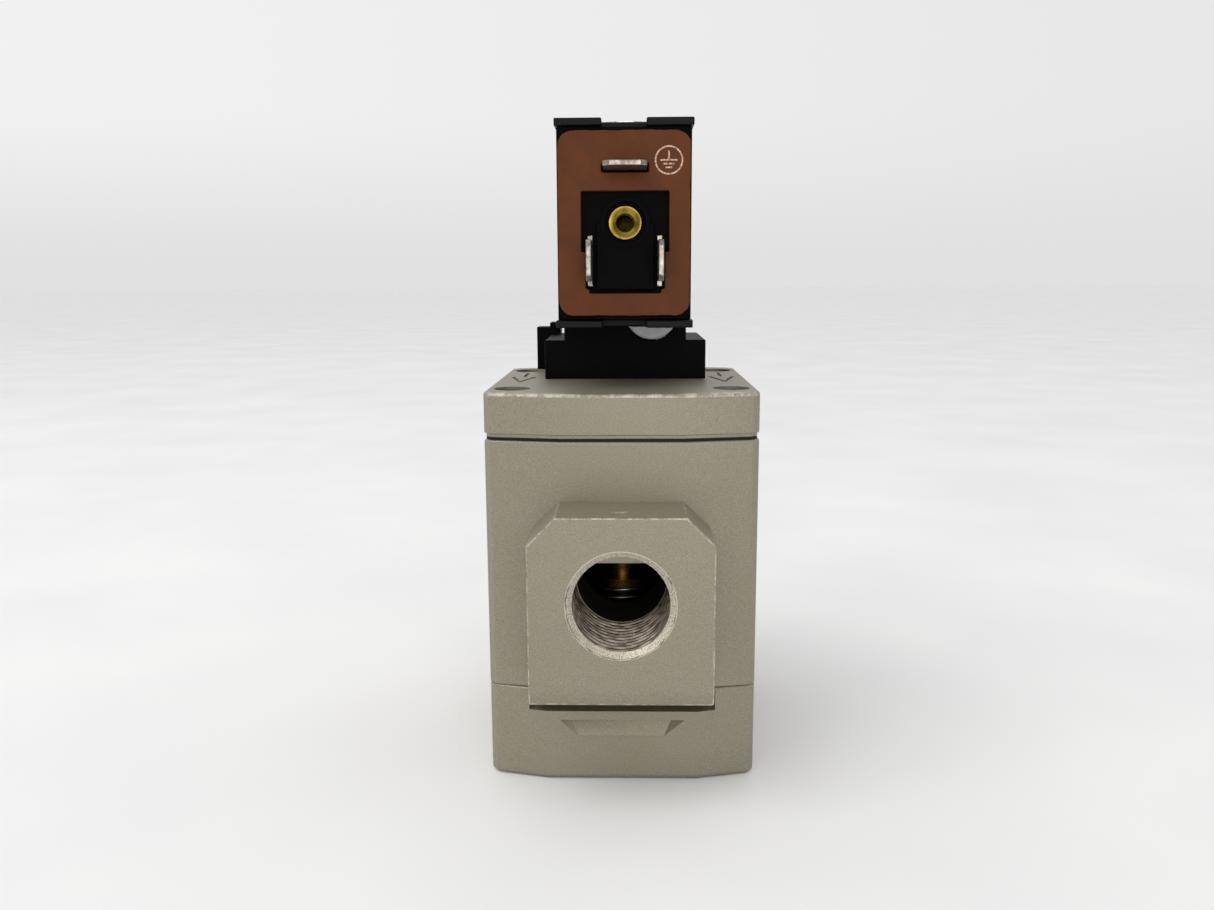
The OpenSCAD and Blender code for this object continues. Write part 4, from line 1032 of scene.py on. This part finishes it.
def paper_sheet(name, radius, rings=24, angles=96):
    """A flat disc: rings that grow by the square of their number round one centre point."""
    turn = np.linspace(0, 2 * np.pi, angles, endpoint=False)[:, None]
    reach = radius * (np.linspace(0.02, 1, rings)[None, :] ** 2)
    points = np.stack([reach * np.cos(turn), reach * np.sin(turn), 0 * reach * turn], -1).reshape(-1, 3)
    faces = [face[::-1] for face in revolve_faces(angles, rings, False)]
    faces.append((np.arange(angles) * rings).tolist())
    return shown_mesh(name, points, faces)


floor = paper_sheet("paper_floor", 8.0)
floor.data.materials.append(white_paper())

# The room: a bright ceiling, pale walls that are lighter on the left, and dim in front, where the maker
# stands. The wall that is seen fades into the paper at the horizon.
world = bpy.data.worlds.new("pale_room")
world.use_nodes = True
bpy.context.scene.world = world
room = world.node_tree
room.nodes.clear()
direction = add(room, "SeparateXYZ", {0: add(room, "TexCoord").outputs["Generated"]})
walls = add(room, "MapRange", {"Value": direction.outputs["Y"], "From Min": -0.9, "From Max": 0.5,
                               "To Min": 0.25, "To Max": 0.95}, interpolation_type="SMOOTHSTEP")
overhead = add(room, "MapRange", {"Value": direction.outputs["Z"], "From Min": 0.1, "From Max": 0.7},
               interpolation_type="SMOOTHSTEP")
lit = add(room, "Mix", {0: overhead, 2: walls, 3: 0.95})
leftward = add(room, "MapRange", {"Value": direction.outputs["X"], "From Min": -1.0, "From Max": 1.0,
                                  "To Min": 1.12, "To Max": 0.88})
lit = add(room, "Math", {0: lit, 1: leftward}, operation="MULTIPLY")
wall = add(room, "MapRange", {"Value": direction.outputs["X"], "From Min": -0.5, "From Max": 0.5,
                              "To Min": 0.94, "To Max": 0.85})
sweep = add(room, "MapRange", {"Value": direction.outputs["Z"], "From Min": 0.0, "From Max": 0.16},
            interpolation_type="SMOOTHSTEP")
seen = add(room, "Mix", {0: sweep, 2: 0.8, 3: wall})
strength = add(room, "Mix", {0: add(room, "LightPath").outputs["Is Camera Ray"], 2: lit, 3: seen})
glow = add(room, "Background", {"Color": linear("#F8F8F8"), "Strength": strength})
add(room, "OutputWorld", {"Surface": glow})


def soft_light(name, place, target, size, power, colour):
    """A square area light at place that looks at target."""
    lamp = bpy.data.lights.new(name, "AREA")
    lamp.energy = power
    lamp.size = size
    lamp.color = linear(colour)[:3]
    light = bpy.data.objects.new(name, lamp)
    bpy.context.scene.collection.objects.link(light)
    aim = Vector(target) - Vector(place)
    light.matrix_world = Matrix.Translation(place) @ aim.to_track_quat("-Z", "Y").to_matrix().to_4x4()


soft_light("key_light", (-0.55, -0.35, 0.85), (0, 0, 0.04), 0.7, 2.7, "#FFFDFA")
soft_light("fill_light", (0.1, -0.9, 0.14), (0, 0, 0.0), 0.5, 2.2, "#FFFDFA")

# The camera stands a little below the coil's middle, 180 mm from the valve's axis, and looks down about 10
# degrees. Its turns are in radians.
YAW, PITCH, ROLL = -0.0237, 0.1725, -0.0052
CAMERA_PLACE = (1.492 * MM, -181.827 * MM, 82.191 * MM)
ahead = Vector((math.sin(YAW) * math.cos(PITCH), math.cos(YAW) * math.cos(PITCH), -math.sin(PITCH)))
level = Vector((math.cos(YAW), -math.sin(YAW), 0))
above = level.cross(ahead)
right = math.cos(ROLL) * level + math.sin(ROLL) * above
up = -math.sin(ROLL) * level + math.cos(ROLL) * above
lens = bpy.data.cameras.new("camera")
lens.sensor_width = 36
lens.lens = 30.15
lens.clip_start = 0.005
camera = bpy.data.objects.new("camera", lens)
bpy.context.scene.collection.objects.link(camera)
turned_to = Matrix((right, up, -ahead)).transposed().to_4x4()
camera.matrix_world = Matrix.Translation(CAMERA_PLACE) @ turned_to
bpy.context.scene.camera = camera
bpy.context.scene.view_settings.view_transform = "Standard"
